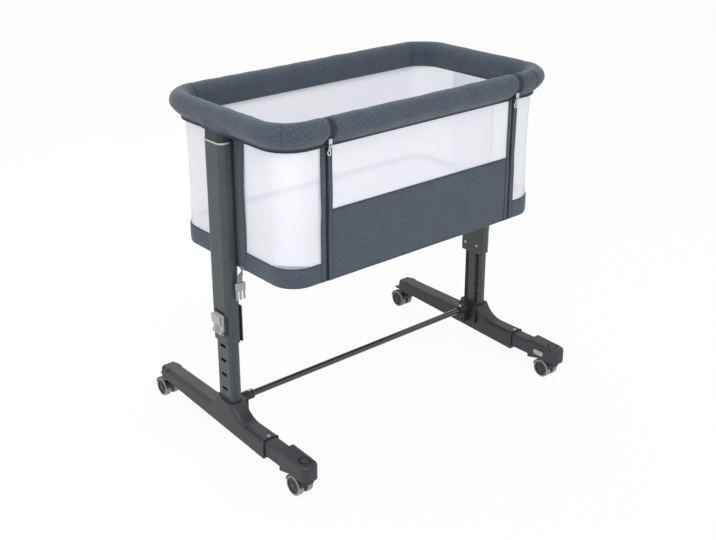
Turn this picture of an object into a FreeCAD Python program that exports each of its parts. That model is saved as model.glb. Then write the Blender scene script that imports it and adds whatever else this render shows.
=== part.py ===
import FreeCAD, Part
import ast
import math
import operator
import os
import re
import Sketcher

# Bedside sleeper crib. Millimetres, X along the crib, -Y towards the drop side, Z up.
# The origin lies on the floor, midway between the two columns.
# Pieces that come in pairs are built on the +X side and mirrored.

VECTOR = FreeCAD.Vector
doc = FreeCAD.newDocument("bedside_crib")
sheet = doc.addObject("Spreadsheet::Sheet", "Sizes")

SIZES = {
    # legs: foot casing, column and sleeve
    "column_clearance": 3.5,
    "column_width": 29.0,
    "column_depth": 62.0,
    "column_foot": 62.0,
    "column_top": 440.0,
    "column_wall": 3.0,
    "column_round": 11.0,
    "sleeve_width": 38.0,
    "sleeve_depth": 70.0,
    "sleeve_low": 279.0,
    "sleeve_high": 765.0,
    "sleeve_round": 14.0,
    "slide_fit": 0.35,
    "seat_fit": 0.1,
    "soft_fit": 0.3,
    "turning_fit": 0.05,
    "height_step": 38.0,
    "height_steps": 4.0,
    "slot_low": 151.0,
    "slot_width": 22.0,
    "slot_height": 8.0,
    "ladder_pitch": 15.0,
    "ladder_low": 136.0,
    "ladder_count": 18.0,
    "ladder_offset": 21.0,
    "notch_width": 8.0,
    "notch_height": 9.0,
    "notch_depth": 2.0,
    "casing_width": 46.0,
    "casing_front": 163.0,
    "casing_rear": 262.0,
    "casing_low_front": 41.0,
    "casing_low_rear": 61.0,
    "ridge_front": 90.0,
    "ridge_rear": 93.0,
    "neck_top": 122.0,
    "neck_half": 38.0,
    "neck_sweep": 92.0,
    "neck_heel": 66.0,
    "casing_round": 13.0,
    "rear_cap_length": 30.0,
    "rear_cap_step": 2.0,
    # telescoping front end of the foot
    "tube_width": 38.0,
    "tube_low": 49.5,
    "tube_high": 87.0,
    "tube_wall": 2.5,
    "tube_rear": 95.0,
    "extension_travel": 60.0,
    "cap_rear": 225.0,
    "cap_front": 318.0,
    "cap_socket": 13.0,
    "cap_low": 52.0,
    "cap_low_rear": 43.0,
    "cap_high": 95.0,
    "cap_high_front": 91.0,
    "cap_nose_round": 18.0,
    "cap_top_round": 9.0,
    "cap_slot_radius": 14.0,
    "cap_slot_gap": 3.0,
    "cap_slot_depth": 4.0,
    "button_length": 32.0,
    "button_height": 13.0,
    "button_middle": 262.0,
    "button_level": 69.0,
    "button_proud": 2.5,
    "button_depth": 3.5,
    "button_travel": 3.0,
    # casters
    "stem_front": 290.0,
    "stem_rear": 281.0,
    "stem_radius": 5.0,
    "stem_height": 24.0,
    "caster_trail": 20.0,
    "wheel_radius": 24.0,
    "hub_radius": 20.0,
    "wheel_width": 14.0,
    "wheel_gap": 12.0,
    "axle_radius": 3.0,
    "axle_inset": 4.0,
    "hub_recess": 1.5,
    "spine_width": 7.0,
    "turntable_radius": 12.0,
    "turntable_top": 51.5,
    "turntable_height": 5.0,
    "fender_radius": 27.0,
    "fender_gap": 1.2,
    "swivel_collar_radius": 11.0,
    "brake_width": 16.0,
    "brake_thick": 4.5,
    "brake_length": 24.0,
    "brake_pivot": 4.0,
    "brake_pivot_drop": 4.5,
    "brake_pin_radius": 1.5,
    "brake_cheek": 2.6,
    # bar between the feet
    "bar_level": 109.0,
    "bar_radius": 8.0,
    "bracket_thick": 6.0,
    "bracket_half": 33.0,
    "bracket_low": 68.0,
    "bracket_high": 120.0,
    "collar_radius": 12.0,
    "collar_length": 34.0,
    "screw_radius": 4.0,
    "screw_head": 1.6,
    "plate_screw_inset": 9.0,
    "plate_screw_drop": 4.0,
    "rivet_inset": 8.0,
    # release lever and lock pin
    "lever_half": 18.0,
    "lever_low": 305.0,
    "lever_length": 46.0,
    "lever_thick": 7.5,
    "lever_barrel": 4.6,
    "lever_pin_radius": 1.5,
    "ear_thick": 2.6,
    "lock_radius": 3.5,
    "lock_gap": 0.2,
    "lever_seat": 1.2,
    "guide_plate_thick": 2.2,
    "guide_plate_height": 92.0,
    "guide_screw_offset": 21.0,
    "guide_screw_level": 303.0,
    # column head and ring
    "ring_height": 4.0,
    "head_margin": 1.0,
    "head_height": 21.0,
    "saddle_width": 24.0,
    "saddle_depth": 44.0,
    # padded rim
    "rim_inset": 7.5,
    "rim_overhang": 4.5,
    "rim_level": 818.0,
    "rim_corner": 92.0,
    "rim_pad_radius": 24.0,
    "rim_tube_radius": 9.5,
    "hem_level": 777.0,
    "hem_inner": 16.0,
    "hem_outer": 3.0,
    "boot_depth": 76.0,
    "boot_height": 17.0,
    "boot_overhang": 1.5,
    # cloth body
    "body_half_length": 396.0,
    "body_half_width": 217.5,
    "body_corner": 84.0,
    "body_low": 466.0,
    "band_height": 45.0,
    "band_thick": 2.0,
    "mesh_thick": 1.2,
    "board_thick": 6.0,
    "mattress_gap": 6.0,
    "mattress_height": 44.0,
    "mattress_crown": 5.0,
    "mattress_draw": 4.0,
    "strip_front": 60.0,
    "strip_rear": 77.0,
    "strip_thick": 1.4,
    "strip_wave": 4.0,
    "strip_wave_radius": 90.0,
    # drop side
    "zip_margin": 22.0,
    "zip_gap": 13.0,
    "tape_inset": 5.0,
    "zip_tape_width": 17.0,
    "panel_gap": 6.0,
    "panel_thick": 1.5,
    "panel_high": 632.0,
    "panel_step": 0.4,
    "slider_width": 9.0,
    "slider_height": 14.0,
    "slider_thick": 3.5,
    "slider_level": 764.0,
    "pull_length": 26.0,
    "pull_width": 5.0,
    "pull_thick": 1.2,
    # bed strap
    "strap_place": 44.0,
    "strap_thick": 2.4,
    "strap_width": 15.0,
    "strap_length": 40.0,
    "buckle_width": 25.0,
    "buckle_length": 42.0,
    "buckle_thick": 6.0,
}

# Places that follow the length and width of the body.
PLACES = {
    "column_centre": "=body_half_length + column_clearance + sleeve_width / 2",
    "rim_half_length": "=column_centre - rim_inset",
    "rim_half_width": "=body_half_width + rim_overhang",
    "zip_place": "=body_half_length - body_corner - zip_margin",
    "zip_tape_start": "=zip_place - tape_inset",
    "panel_half": "=zip_place - panel_gap",
    "mattress_top": "=body_low + mattress_height",
}

for row, (alias, amount) in enumerate([*SIZES.items(), *PLACES.items()], 1):
    sheet.set(f"A{row}", alias.replace("_", " "))
    sheet.set(f"B{row}", str(amount))
    sheet.setAlias(f"B{row}", alias)
doc.recompute()

STEPS = {ast.Add: operator.add, ast.Sub: operator.sub, ast.Mult: operator.mul, ast.Div: operator.truediv}


def measure(term):
    """Length that one term of a rule stands for."""
    if isinstance(term, ast.BinOp):
        return STEPS[type(term.op)](measure(term.left), measure(term.right))
    if isinstance(term, ast.UnaryOp):
        return -measure(term.operand)
    if isinstance(term, ast.Name):
        return float(sheet.get(term.id))
    return float(term.value)


def mm(rule):
    """Length in millimetres of a rule such as 'column_centre - sleeve_width / 2'."""
    return measure(ast.parse(str(rule).strip()).body[0].value)


def bound(rule):
    """The same rule as a spreadsheet expression."""
    return re.sub(r"[a-z][a-z_]+", lambda word: "Sizes." + word.group(), str(rule))


def tie(item, field, rule):
    item.setExpression(field, bound(rule))


def new_body(label):
    item = doc.addObject("PartDesign::Body", label)
    item.Label = label
    return item


def plane_of(body, role):
    return [plane for plane in body.Origin.OriginFeatures if plane.Role == role][0]


def place(item, corner):
    for axis, rule in zip("xyz", corner):
        tie(item, f"Placement.Base.{axis}", rule)


def block(body, low, high, cut=False):
    """Rectangular block between two corners, added to the body or cut out of it."""
    kind = "SubtractiveBox" if cut else "AdditiveBox"
    item = body.newObject("PartDesign::" + kind, "block")
    for field, start, end in zip(("Length", "Width", "Height"), low, high):
        tie(item, field, f"({end}) - ({start})")
    place(item, low)
    doc.recompute()
    return item


TURNS = {
    "x": FreeCAD.Rotation(VECTOR(0, 1, 0), 90),
    "y": FreeCAD.Rotation(VECTOR(1, 0, 0), -90),
    "z": FreeCAD.Rotation(),
}


def rod(body, axis, start, radius, length, cut=False):
    """Cylinder from a start point along an axis, added to the body or cut out of it."""
    kind = "SubtractiveCylinder" if cut else "AdditiveCylinder"
    item = body.newObject("PartDesign::" + kind, "rod")
    item.Placement = FreeCAD.Placement(VECTOR(), TURNS[axis])
    tie(item, "Radius", radius)
    tie(item, "Height", length)
    place(item, start)
    doc.recompute()
    return item


def arc_between(start, end, radius, side):
    """Short arc through two points; side is +1 where its centre lies left of the way."""
    chord = end - start
    middle = (start + end) * 0.5
    left = VECTOR(-chord.y, chord.x, 0).normalize()
    rise = math.sqrt(max(radius ** 2 - (chord.Length / 2) ** 2, 0))
    centre = middle + left * rise * side
    first, last = (start, end) if side > 0 else (end, start)
    turn = [math.atan2(point.y - centre.y, point.x - centre.x) for point in (first, last)]
    if turn[1] < turn[0]:
        turn[1] += 2 * math.pi
    circle = Part.Circle(centre, VECTOR(0, 0, 1), radius)
    return Part.ArcOfCircle(circle, turn[0], turn[1])


PLANE_SIGN = {"XY_Plane": "", "YZ_Plane": "", "XZ_Plane": "-"}


def sketch_on(body, plane, level):
    item = body.newObject("Sketcher::SketchObject", "outline")
    item.AttachmentSupport = [(plane_of(body, plane), "")]
    item.MapMode = "FlatFace"
    sign = PLANE_SIGN[plane]
    tie(item, "AttachmentOffset.Base.z", f"{sign}({level})")
    return item


def outline(body, plane, level, corners):
    """Closed outline. A corner is (u, v), or (u, v, radius, side) where an arc leaves it."""
    item = sketch_on(body, plane, level)
    points = [VECTOR(mm(corner[0]), mm(corner[1]), 0) for corner in corners]
    ends = []
    for index, corner in enumerate(corners):
        start = points[index]
        end = points[(index + 1) % len(points)]
        if len(corner) == 2:
            item.addGeometry(Part.LineSegment(start, end))
            ends.append((1, 2))
        else:
            item.addGeometry(arc_between(start, end, mm(corner[2]), corner[3]))
            ends.append((1, 2) if corner[3] > 0 else (2, 1))
    for index in range(len(corners)):
        following = (index + 1) % len(corners)
        item.addConstraint(Sketcher.Constraint(
            "Coincident", index, ends[index][1], following, ends[following][0]))
    for index, corner in enumerate(corners):
        for kind, rule in zip(("DistanceX", "DistanceY"), corner):
            number = item.addConstraint(Sketcher.Constraint(
                kind, -1, 1, index, ends[index][0], mm(rule)))
            tie(item, f"Constraints[{number}]", rule)
        if len(corner) > 2:
            number = item.addConstraint(Sketcher.Constraint("Radius", index, mm(corner[2])))
            tie(item, f"Constraints[{number}]", corner[2])
    return item


def rounded(half_u, half_v, radius, middle_u="0", middle_v="0"):
    """Corners of a rounded rectangle."""
    right = f"({middle_u}) + ({half_u})"
    left = f"({middle_u}) - ({half_u})"
    top = f"({middle_v}) + ({half_v})"
    bottom = f"({middle_v}) - ({half_v})"
    return [
        (f"{left} + ({radius})", bottom),
        (f"{right} - ({radius})", bottom, radius, 1),
        (right, f"{bottom} + ({radius})"),
        (right, f"{top} - ({radius})", radius, 1),
        (f"{right} - ({radius})", top),
        (f"{left} + ({radius})", top, radius, 1),
        (left, f"{top} - ({radius})"),
        (left, f"{bottom} + ({radius})", radius, 1),
    ]


def pad(body, profile, length, both_ways=False, back=False):
    item = body.newObject("PartDesign::Pad", "pad")
    item.Profile = profile
    item.SideType = "Symmetric" if both_ways else "One side"
    item.Reversed = back
    tie(item, "Length", length)
    doc.recompute()
    return item


def pocket(body, profile, length, both_ways=False, back=False):
    """Cut; it must take material away, so its direction is tested by the volume."""
    before = body.Shape.Volume
    item = body.newObject("PartDesign::Pocket", "pocket")
    item.Profile = profile
    item.SideType = "Symmetric" if both_ways else "One side"
    item.Reversed = back
    tie(item, "Length", length)
    doc.recompute()
    if body.Shape.Volume > before - 0.5:
        raise ValueError(f"a pocket in {body.Label} cuts nothing")
    return item


def soften(body, radius, chosen):
    """Fillet on the edges of the body that the test picks."""
    names = [f"Edge{n}" for n, edge in enumerate(body.Shape.Edges, 1) if chosen(edge)]
    base = body.Tip
    item = body.newObject("PartDesign::Fillet", "fillet")
    item.Base = (base, names)
    tie(item, "Radius", radius)
    doc.recompute()
    if "Invalid" in item.State or item.Shape.isNull():
        raise ValueError(f"the fillet on {body.Label} failed")
    return item


def repeat(body, item, axis, step, count):
    pattern = body.newObject("PartDesign::LinearPattern", "pattern")
    pattern.Originals = [item]
    pattern.Direction = (plane_of(body, axis), [""])
    pattern.Mode = "Spacing"
    tie(pattern, "Offset", step)
    tie(pattern, "Occurrences", count)
    body.Tip = pattern
    doc.recompute()
    return pattern


def along(edge, axis):
    """True for a straight edge that runs along an axis."""
    if edge.Curve.TypeId != "Part::GeomLine":
        return False
    way = edge.tangentAt(edge.FirstParameter)
    return abs(getattr(way, axis)) > 0.999


def at(edge, axis, rule):
    """True where the whole edge lies at one place on an axis."""
    low = getattr(edge.BoundBox, axis.upper() + "Min")
    high = getattr(edge.BoundBox, axis.upper() + "Max")
    return abs(low - mm(rule)) < 0.01 and abs(high - mm(rule)) < 0.01


def centre_on(edge, axis):
    return getattr(edge.BoundBox.Center, axis)


nodes = []


def keep(item, label=None):
    """Enter a finished sub-part in the list that is written out."""
    if label:
        item.Label = label
    nodes.append(item)
    return item


def mirrored(item, label):
    """The same piece on the -X side."""
    copy = doc.addObject("Part::Mirroring", label)
    copy.Source = item
    copy.Normal = VECTOR(1, 0, 0)
    copy.Label = label
    doc.recompute()
    return copy


def keep_pair(item, stem):
    """A piece on each side, each a node of its own."""
    keep(item, stem + "_right")
    keep(mirrored(item, stem + "_left"))


def keep_group(items, label):
    """Like pieces that share one node as separate solids."""
    group = doc.addObject("Part::Compound", label)
    group.Links = items
    group.Label = label
    doc.recompute()
    keep(group)


def keep_both(item, label):
    """A piece and its mirror image, which share one node."""
    item.Label = label + "_master"
    keep_group([item, mirrored(item, label + "_mirror")], label)


# ---- rules that several pieces share ----

COLUMN_INNER = "column_centre - column_width / 2"
COLUMN_OUTER = "column_centre + column_width / 2"
SLEEVE_INNER = "column_centre - sleeve_width / 2"
SLEEVE_OUTER = "column_centre + sleeve_width / 2"
CASING_INNER = "column_centre - casing_width / 2"
LOCK_LEVEL = "slot_low + height_step * (height_steps + 1)"
RING_TOP = "sleeve_high + ring_height"
HEAD_TOP = f"{RING_TOP} + head_height"
BODY_TOP = "hem_level - soft_fit"
BETWEEN_WHEELS = "wheel_gap / 2 - slide_fit"


# ---- foot ----

def tangent_radius(foot, ridge):
    """Radius of the arc that leaves the ridge in line and ends at the top of the neck."""
    across = f"({foot} - neck_half)"
    rise = f"(neck_top - {ridge})"
    return f"({across} * {across} + {rise} * {rise}) / (2 * {rise})"


def make_foot_casing():
    """Moulded casing over the foot, drawn up into the neck that holds the column."""
    casing = new_body("foot_casing_right")
    profile = outline(casing, "YZ_Plane", "column_centre", [
        ("-casing_front", "casing_low_front"),
        ("casing_rear", "casing_low_rear"),
        ("casing_rear", "ridge_rear"),
        ("neck_heel", "ridge_rear", tangent_radius("neck_heel", "ridge_rear"), -1),
        ("neck_half", "neck_top"),
        ("-neck_half", "neck_top", tangent_radius("neck_sweep", "ridge_front"), -1),
        ("-neck_sweep", "ridge_front"),
        ("-casing_front", "ridge_front"),
    ])
    pad(casing, profile, "casing_width", both_ways=True)
    soften(casing, "casing_round", lambda edge: (
        (at(edge, "x", CASING_INNER) or at(edge, "x", "column_centre + casing_width / 2"))
        and edge.BoundBox.ZMax > mm("ridge_front") - 1
        and edge.BoundBox.YLength > 5 and not at(edge, "z", "neck_top")))
    half_tube = "tube_width / 2 + slide_fit"
    block(casing,
          (f"column_centre - ({half_tube})", "-casing_front - 1", "tube_low - slide_fit"),
          (f"column_centre + {half_tube}", "-tube_rear + extension_travel + 1",
           "tube_high + slide_fit"), cut=True)
    block(casing,
          (f"{COLUMN_INNER} - seat_fit", "-column_depth / 2 - seat_fit", "column_foot"),
          (f"{COLUMN_OUTER} + seat_fit", "column_depth / 2 + seat_fit", "neck_top + 1"), cut=True)
    keep_pair(casing, "foot_casing")


def make_rear_end_caps():
    """Stepped plug over the rear end of the foot, with the collar of the rear caster."""
    cap = new_body("rear_end_cap")
    low = "casing_low_rear - 1"
    block(cap, (CASING_INNER, "casing_rear", low),
          ("column_centre + casing_width / 2", "casing_rear + rear_cap_length / 2", "ridge_rear"))
    block(cap, (f"{CASING_INNER} + rear_cap_step", "casing_rear", low),
          ("column_centre + casing_width / 2 - rear_cap_step", "casing_rear + rear_cap_length",
           "ridge_rear - rear_cap_step"))
    soften(cap, "casing_round - 4", lambda edge: (
        edge.BoundBox.ZMax > mm("ridge_rear - rear_cap_step") - 0.1 and along(edge, "y")
        and edge.BoundBox.YLength > 10))
    rod(cap, "z", ("column_centre", "stem_rear", "turntable_top + slide_fit"),
        "swivel_collar_radius", f"{low} - turntable_top")
    rod(cap, "z", ("column_centre", "stem_rear", "turntable_top - 1"),
        "stem_radius + turning_fit", "stem_height + 2", cut=True)
    keep_both(cap, "rear_end_caps")


def make_column():
    """Hollow post with lock slots outside and two ladders of notches inside."""
    column = new_body("inner_column_right")
    pad(column, outline(column, "XY_Plane", "column_foot", rounded(
        "column_width / 2", "column_depth / 2", "column_round", "column_centre")),
        "column_top - column_foot")
    half = "column_width / 2 - column_wall"
    block(column,
          (f"column_centre - ({half})", "-column_depth / 2 + column_round", "column_foot + 4"),
          (f"column_centre + {half}", "column_depth / 2 - column_round", "column_top + 1"), cut=True)
    slot = block(column,
                 (f"{COLUMN_OUTER} - column_wall - 1", "-slot_width / 2",
                  "slot_low - slot_height / 2"),
                 (f"{COLUMN_OUTER} + 1", "slot_width / 2", "slot_low + slot_height / 2"), cut=True)
    repeat(column, slot, "Z_Axis", "height_step", "height_steps + 3")
    for side in ("-", ""):
        middle = f"{side}ladder_offset"
        notch = block(column,
                      (f"{COLUMN_INNER} - 1", f"{middle} - notch_width / 2", "ladder_low"),
                      (f"{COLUMN_INNER} + notch_depth", f"{middle} + notch_width / 2",
                       "ladder_low + notch_height"), cut=True)
        repeat(column, notch, "Z_Axis", "ladder_pitch", "ladder_count")
    keep_pair(column, "inner_column")


def make_cross_bar():
    """Round steel bar that ties the two feet together."""
    bar = new_body("cross_bar")
    reach = f"{CASING_INNER} - bracket_thick"
    rod(bar, "x", (f"-({reach})", "0", "bar_level"), "bar_radius", f"2 * ({reach})")
    keep(bar)

    bracket = new_body("bar_bracket")
    block(bracket, (reach, "-bracket_half", "bracket_low"),
          (CASING_INNER, "bracket_half", "bracket_high"))
    soften(bracket, "bracket_thick", lambda edge: along(edge, "x"))
    rod(bracket, "x", (f"{reach} - collar_length", "0", "bar_level"),
        "collar_radius", "collar_length")
    block(bracket, (f"{reach} - collar_length / 2", "-bar_radius", "bracket_low + 4"),
          (reach, "bar_radius", "bar_level"))
    rod(bracket, "x", (f"{reach} - collar_length - 1", "0", "bar_level"),
        "bar_radius + seat_fit", "collar_length + 1", cut=True)
    rod(bracket, "x", (f"{reach} - collar_length / 2 - 1", "0", "bracket_low + 9"),
        "screw_radius - 0.8", "collar_length / 4", cut=True)
    seat = (f"{reach} - collar_length * 3 / 4", "0", "bar_level + collar_radius - screw_head")
    rod(bracket, "z", seat, "screw_radius + seat_fit", "2 * screw_head", cut=True)
    keep_both(bracket, "bar_brackets")

    collar_screw = new_body("collar_screw")
    rod(collar_screw, "z", seat, "screw_radius", "screw_head * 1.5")
    plate_screw = new_body("plate_screw")
    rod(plate_screw, "x", (f"{reach} - screw_head", "bracket_half - plate_screw_inset",
                           "bar_level - plate_screw_drop"),
        "screw_radius", "screw_head")
    casing_rivet = new_body("casing_rivet")
    rod(casing_rivet, "z", ("column_centre", "rivet_inset - casing_front", "ridge_front"),
        "screw_radius", "screw_head / 2")
    screws = [collar_screw, plate_screw, casing_rivet]
    others = [mirrored(screw, screw.Label + "_mirror") for screw in screws]
    keep_group(screws + others, "base_screws")


def make_extension():
    """Square tube that slides out of the front of the foot, with its round-nosed cap."""
    tube = new_body("foot_extension_right")
    tube_end = "cap_rear + cap_socket"
    block(tube, ("column_centre - tube_width / 2", f"-({tube_end})", "tube_low"),
          ("column_centre + tube_width / 2", "-tube_rear", "tube_high"))
    soften(tube, "casing_round - 3", lambda edge: (
        along(edge, "y") and edge.BoundBox.ZMin > mm("tube_high") - 1))
    block(tube, ("column_centre - tube_width / 2 + tube_wall", f"-({tube_end}) - 1",
                 "tube_low + tube_wall"),
          ("column_centre + tube_width / 2 - tube_wall", "-tube_rear + 1",
           "tube_high - tube_wall - 3"), cut=True)
    keep_pair(tube, "foot_extension")

    cap = new_body("front_end_cap_right")
    profile = outline(cap, "YZ_Plane", "column_centre", [
        ("-cap_front", "cap_low"),
        ("-stem_front + 28", "cap_low"),
        ("-cap_rear", "cap_low_rear"),
        ("-cap_rear", "cap_high"),
        ("-cap_front", "cap_high_front"),
    ])
    pad(cap, profile, "casing_width", both_ways=True)
    soften(cap, "cap_nose_round", lambda edge: (
        along(edge, "z") and at(edge, "y", "-cap_front")))
    soften(cap, "cap_top_round", lambda edge: (
        edge.BoundBox.ZMin > mm("cap_high_front") - 0.5
        and edge.BoundBox.YMin < mm("-cap_rear") - 1))
    block(cap, ("column_centre - tube_width / 2 - seat_fit", f"-({tube_end}) - seat_fit",
                "tube_low - seat_fit"),
          ("column_centre + tube_width / 2 + seat_fit", "-cap_rear + 1",
           "tube_high + seat_fit"), cut=True)
    rod(cap, "z", ("column_centre", "-stem_front", "cap_low - 1"),
        "stem_radius + turning_fit", "stem_height + 2", cut=True)
    slots = sketch_on(cap, "XY_Plane", "cap_high_front - cap_slot_depth")
    for order, radius in enumerate(("cap_slot_radius", "cap_slot_radius - cap_slot_gap")):
        slots.addGeometry(Part.Circle(
            VECTOR(mm("column_centre"), mm("-stem_front"), 0), VECTOR(0, 0, 1), mm(radius)))
        rules = {
            "DistanceX": "column_centre",
            "DistanceY": "-stem_front",
        }
        for kind, rule in rules.items():
            number = slots.addConstraint(Sketcher.Constraint(kind, -1, 1, order, 3, mm(rule)))
            tie(slots, f"Constraints[{number}]", rule)
        number = slots.addConstraint(Sketcher.Constraint("Radius", order, mm(radius)))
        tie(slots, f"Constraints[{number}]", radius)
    pocket(cap, slots, "cap_slot_depth * 2", back=True)
    block(cap, ("column_centre - 3", "-stem_front - cap_slot_radius - 1",
                "cap_high_front - cap_slot_depth - 1"),
          ("column_centre + 3", "-stem_front + cap_slot_radius + 1", "cap_high_front - 0.4"))
    half = "button_length / 2 + slide_fit"
    tall = "button_height / 2 + slide_fit"
    block(cap, (f"{CASING_INNER} - 1", f"-button_middle - ({half})", f"button_level - ({tall})"),
          (f"{CASING_INNER} + button_depth + button_travel + 0.5", f"-button_middle + {half}",
           f"button_level + {tall}"), cut=True)
    keep_pair(cap, "front_end_cap")

    button = new_body("extension_button_right")
    profile = outline(button, "YZ_Plane", f"{CASING_INNER} - button_proud", rounded(
        "button_length / 2", "button_height / 2", "button_height / 2 - 0.5",
        "-button_middle", "button_level"))
    pad(button, profile, "button_proud + button_depth")
    keep_pair(button, "extension_button")


# ---- casters ----

def make_caster(end, stem, top):
    """Twin-wheel swivel caster whose wheels trail behind the stem."""
    axle = f"{stem} + caster_trail"
    housing = new_body(f"caster_housing_{end}_right")
    wide = "wheel_width * 2 + wheel_gap"
    left = f"column_centre - ({wide}) / 2"
    rod(housing, "x", (left, axle, "wheel_radius"), "fender_radius", wide)
    rod(housing, "x", (f"{left} - 1", axle, "wheel_radius"),
        "wheel_radius + fender_gap", f"{wide} + 2", cut=True)
    block(housing, (f"{left} - 1", f"{axle} - fender_radius - 1", "-10"),
          (f"column_centre + ({wide}) / 2 + 1", f"{axle} + fender_radius + 1",
           "wheel_radius + 5"), cut=True)
    if end == "rear":
        block(housing, ("column_centre - brake_width / 2 - 1", f"{axle} - brake_pivot * 2",
                        "wheel_radius"),
              ("column_centre + brake_width / 2 + 1", f"{axle} + fender_radius + 1",
               "wheel_radius + fender_radius + 1"), cut=True)
    spine = outline(housing, "YZ_Plane", "column_centre", [
        (f"{stem} - turntable_radius + 3", "turntable_top - turntable_height"),
        (f"{axle} - 11", "wheel_radius - 3", "12", 1),
        (f"{axle} + 11", "wheel_radius - 3"),
        (f"{axle} + 21", "wheel_radius + 9"),
        (f"{axle} + 8", "wheel_radius + 19"),
        (f"{axle} - 7", "turntable_top - 0.5"),
        (f"{stem} - turntable_radius + 3", "turntable_top - 0.5"),
    ])
    pad(housing, spine, "spine_width", both_ways=True)
    rod(housing, "z", ("column_centre", stem, "turntable_top - turntable_height"),
        "turntable_radius", "turntable_height")
    for start in (left, "column_centre + brake_width / 2 + 1"):
        block(housing, (start, f"{stem} + 2", "2 * wheel_radius + fender_gap"),
              (f"{start} + ({wide}) / 2 - brake_width / 2 - 1", f"{axle} - 3",
               "wheel_radius + fender_radius - 0.2"))
    rod(housing, "x", ("column_centre - spine_width", axle, "wheel_radius"),
        "axle_radius + seat_fit", "spine_width * 2", cut=True)
    rod(housing, "z", ("column_centre", stem, "wheel_radius"),
        "stem_radius + seat_fit", "fender_radius + 2", cut=True)
    pivot = f"{axle} - brake_pivot"
    pivot_level = "turntable_top - brake_pivot_drop"
    if end == "rear":
        rod(housing, "x", ("column_centre - brake_width / 2", pivot, pivot_level),
            "brake_pin_radius + seat_fit", "brake_width", cut=True)
    keep_pair(housing, f"caster_housing_{end}")

    reach = f"({wide}) / 2 - axle_inset"
    axle_pin = new_body(f"axle_pin_{end}")
    rod(axle_pin, "x", (f"column_centre - ({reach})", axle, "wheel_radius"),
        "axle_radius", f"2 * ({reach})")
    stem_pin = new_body(f"stem_pin_{end}")
    rod(stem_pin, "z", ("column_centre", stem, "turntable_top - turntable_height + 1"),
        "stem_radius", f"{top}")
    pins = [axle_pin, stem_pin]
    if end == "rear":
        brake_pin = new_body("brake_pin")
        rod(brake_pin, "x", (f"column_centre - ({BETWEEN_WHEELS})", pivot, pivot_level),
            "brake_pin_radius", f"2 * ({BETWEEN_WHEELS})")
        pins.append(brake_pin)
    keep_group(pins, f"caster_pins_{end}_right")
    keep_group([mirrored(pin, pin.Label + "_mirror") for pin in pins], f"caster_pins_{end}_left")

    hubs = []
    tyres = []
    for side in ("-", "+"):
        inner = f"column_centre {side} wheel_gap / 2"
        start = f"{inner} - wheel_width" if side == "-" else inner
        hub = new_body(f"hub_{end}")
        rod(hub, "x", (start, axle, "wheel_radius"), "hub_radius", "wheel_width")
        face = f"{start} - 1" if side == "-" else f"{start} + wheel_width - hub_recess"
        rod(hub, "x", (face, axle, "wheel_radius"), "hub_radius - 3", "hub_recess + 1", cut=True)
        rod(hub, "x", (start if side == "-" else f"{start} + wheel_width - hub_recess - 1",
                       axle, "wheel_radius"), "hub_radius / 3", "hub_recess + 1")
        bore = (f"{start} + axle_inset - 0.5" if side == "-" else f"{start} - 1")
        rod(hub, "x", (bore, axle, "wheel_radius"), "axle_radius + turning_fit",
            "wheel_width - axle_inset + 1.5", cut=True)
        hubs.append(hub)
        tyre = new_body(f"tyre_{end}")
        rod(tyre, "x", (start, axle, "wheel_radius"), "wheel_radius", "wheel_width")
        soften(tyre, "hub_recess", lambda edge: edge.Curve.TypeId == "Part::GeomCircle")
        rod(tyre, "x", (f"{start} - 1", axle, "wheel_radius"), "hub_radius",
            "wheel_width + 2", cut=True)
        tyres.append(tyre)
    for items, name in ((hubs, "wheel_hubs"), (tyres, "tyres")):
        keep_group(items, f"{name}_{end}_right")
        keep_group([mirrored(item, item.Label + "_mirror") for item in items],
                   f"{name}_{end}_left")


def make_brake():
    """Foot lever over the rear caster."""
    lever = new_body("brake_lever_right")
    pivot = "stem_rear + caster_trail - brake_pivot"
    low = "turntable_top + 0.3"
    profile = outline(lever, "YZ_Plane", "column_centre", [
        (f"{pivot} - 1", low),
        (f"{pivot} + 8", low),
        (f"{pivot} + brake_length", f"{low} + 0.4"),
        (f"{pivot} + brake_length + 3", f"{low} + 3.4"),
        (f"{pivot} + brake_length - 2", f"{low} + brake_thick + 0.8"),
        (f"{pivot} - 1", f"{low} + brake_thick"),
    ])
    pad(lever, profile, "brake_width", both_ways=True)
    soften(lever, "1.5", lambda edge: along(edge, "z") or (
        along(edge, "x") and edge.BoundBox.YMax > mm(f"{pivot} + brake_length - brake_cheek")
        and edge.BoundBox.ZMin > mm(f"{low} + brake_thick") - 1))
    level = "turntable_top - brake_pivot_drop"
    gap = "spine_width / 2 + soft_fit"
    for start, end in ((f"column_centre + {gap}", f"column_centre + {BETWEEN_WHEELS}"),
                       (f"column_centre - ({BETWEEN_WHEELS})", f"column_centre - ({gap})")):
        block(lever, (start, f"{pivot} - brake_cheek", f"{level} - brake_cheek"),
              (end, f"{pivot} + brake_cheek", f"{low} + 0.5"))
    rod(lever, "x", ("column_centre - brake_width", pivot, level),
        "brake_pin_radius + turning_fit", "brake_width * 2", cut=True)
    keep_pair(lever, "brake_lever")


# ---- height adjustment ----

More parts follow.
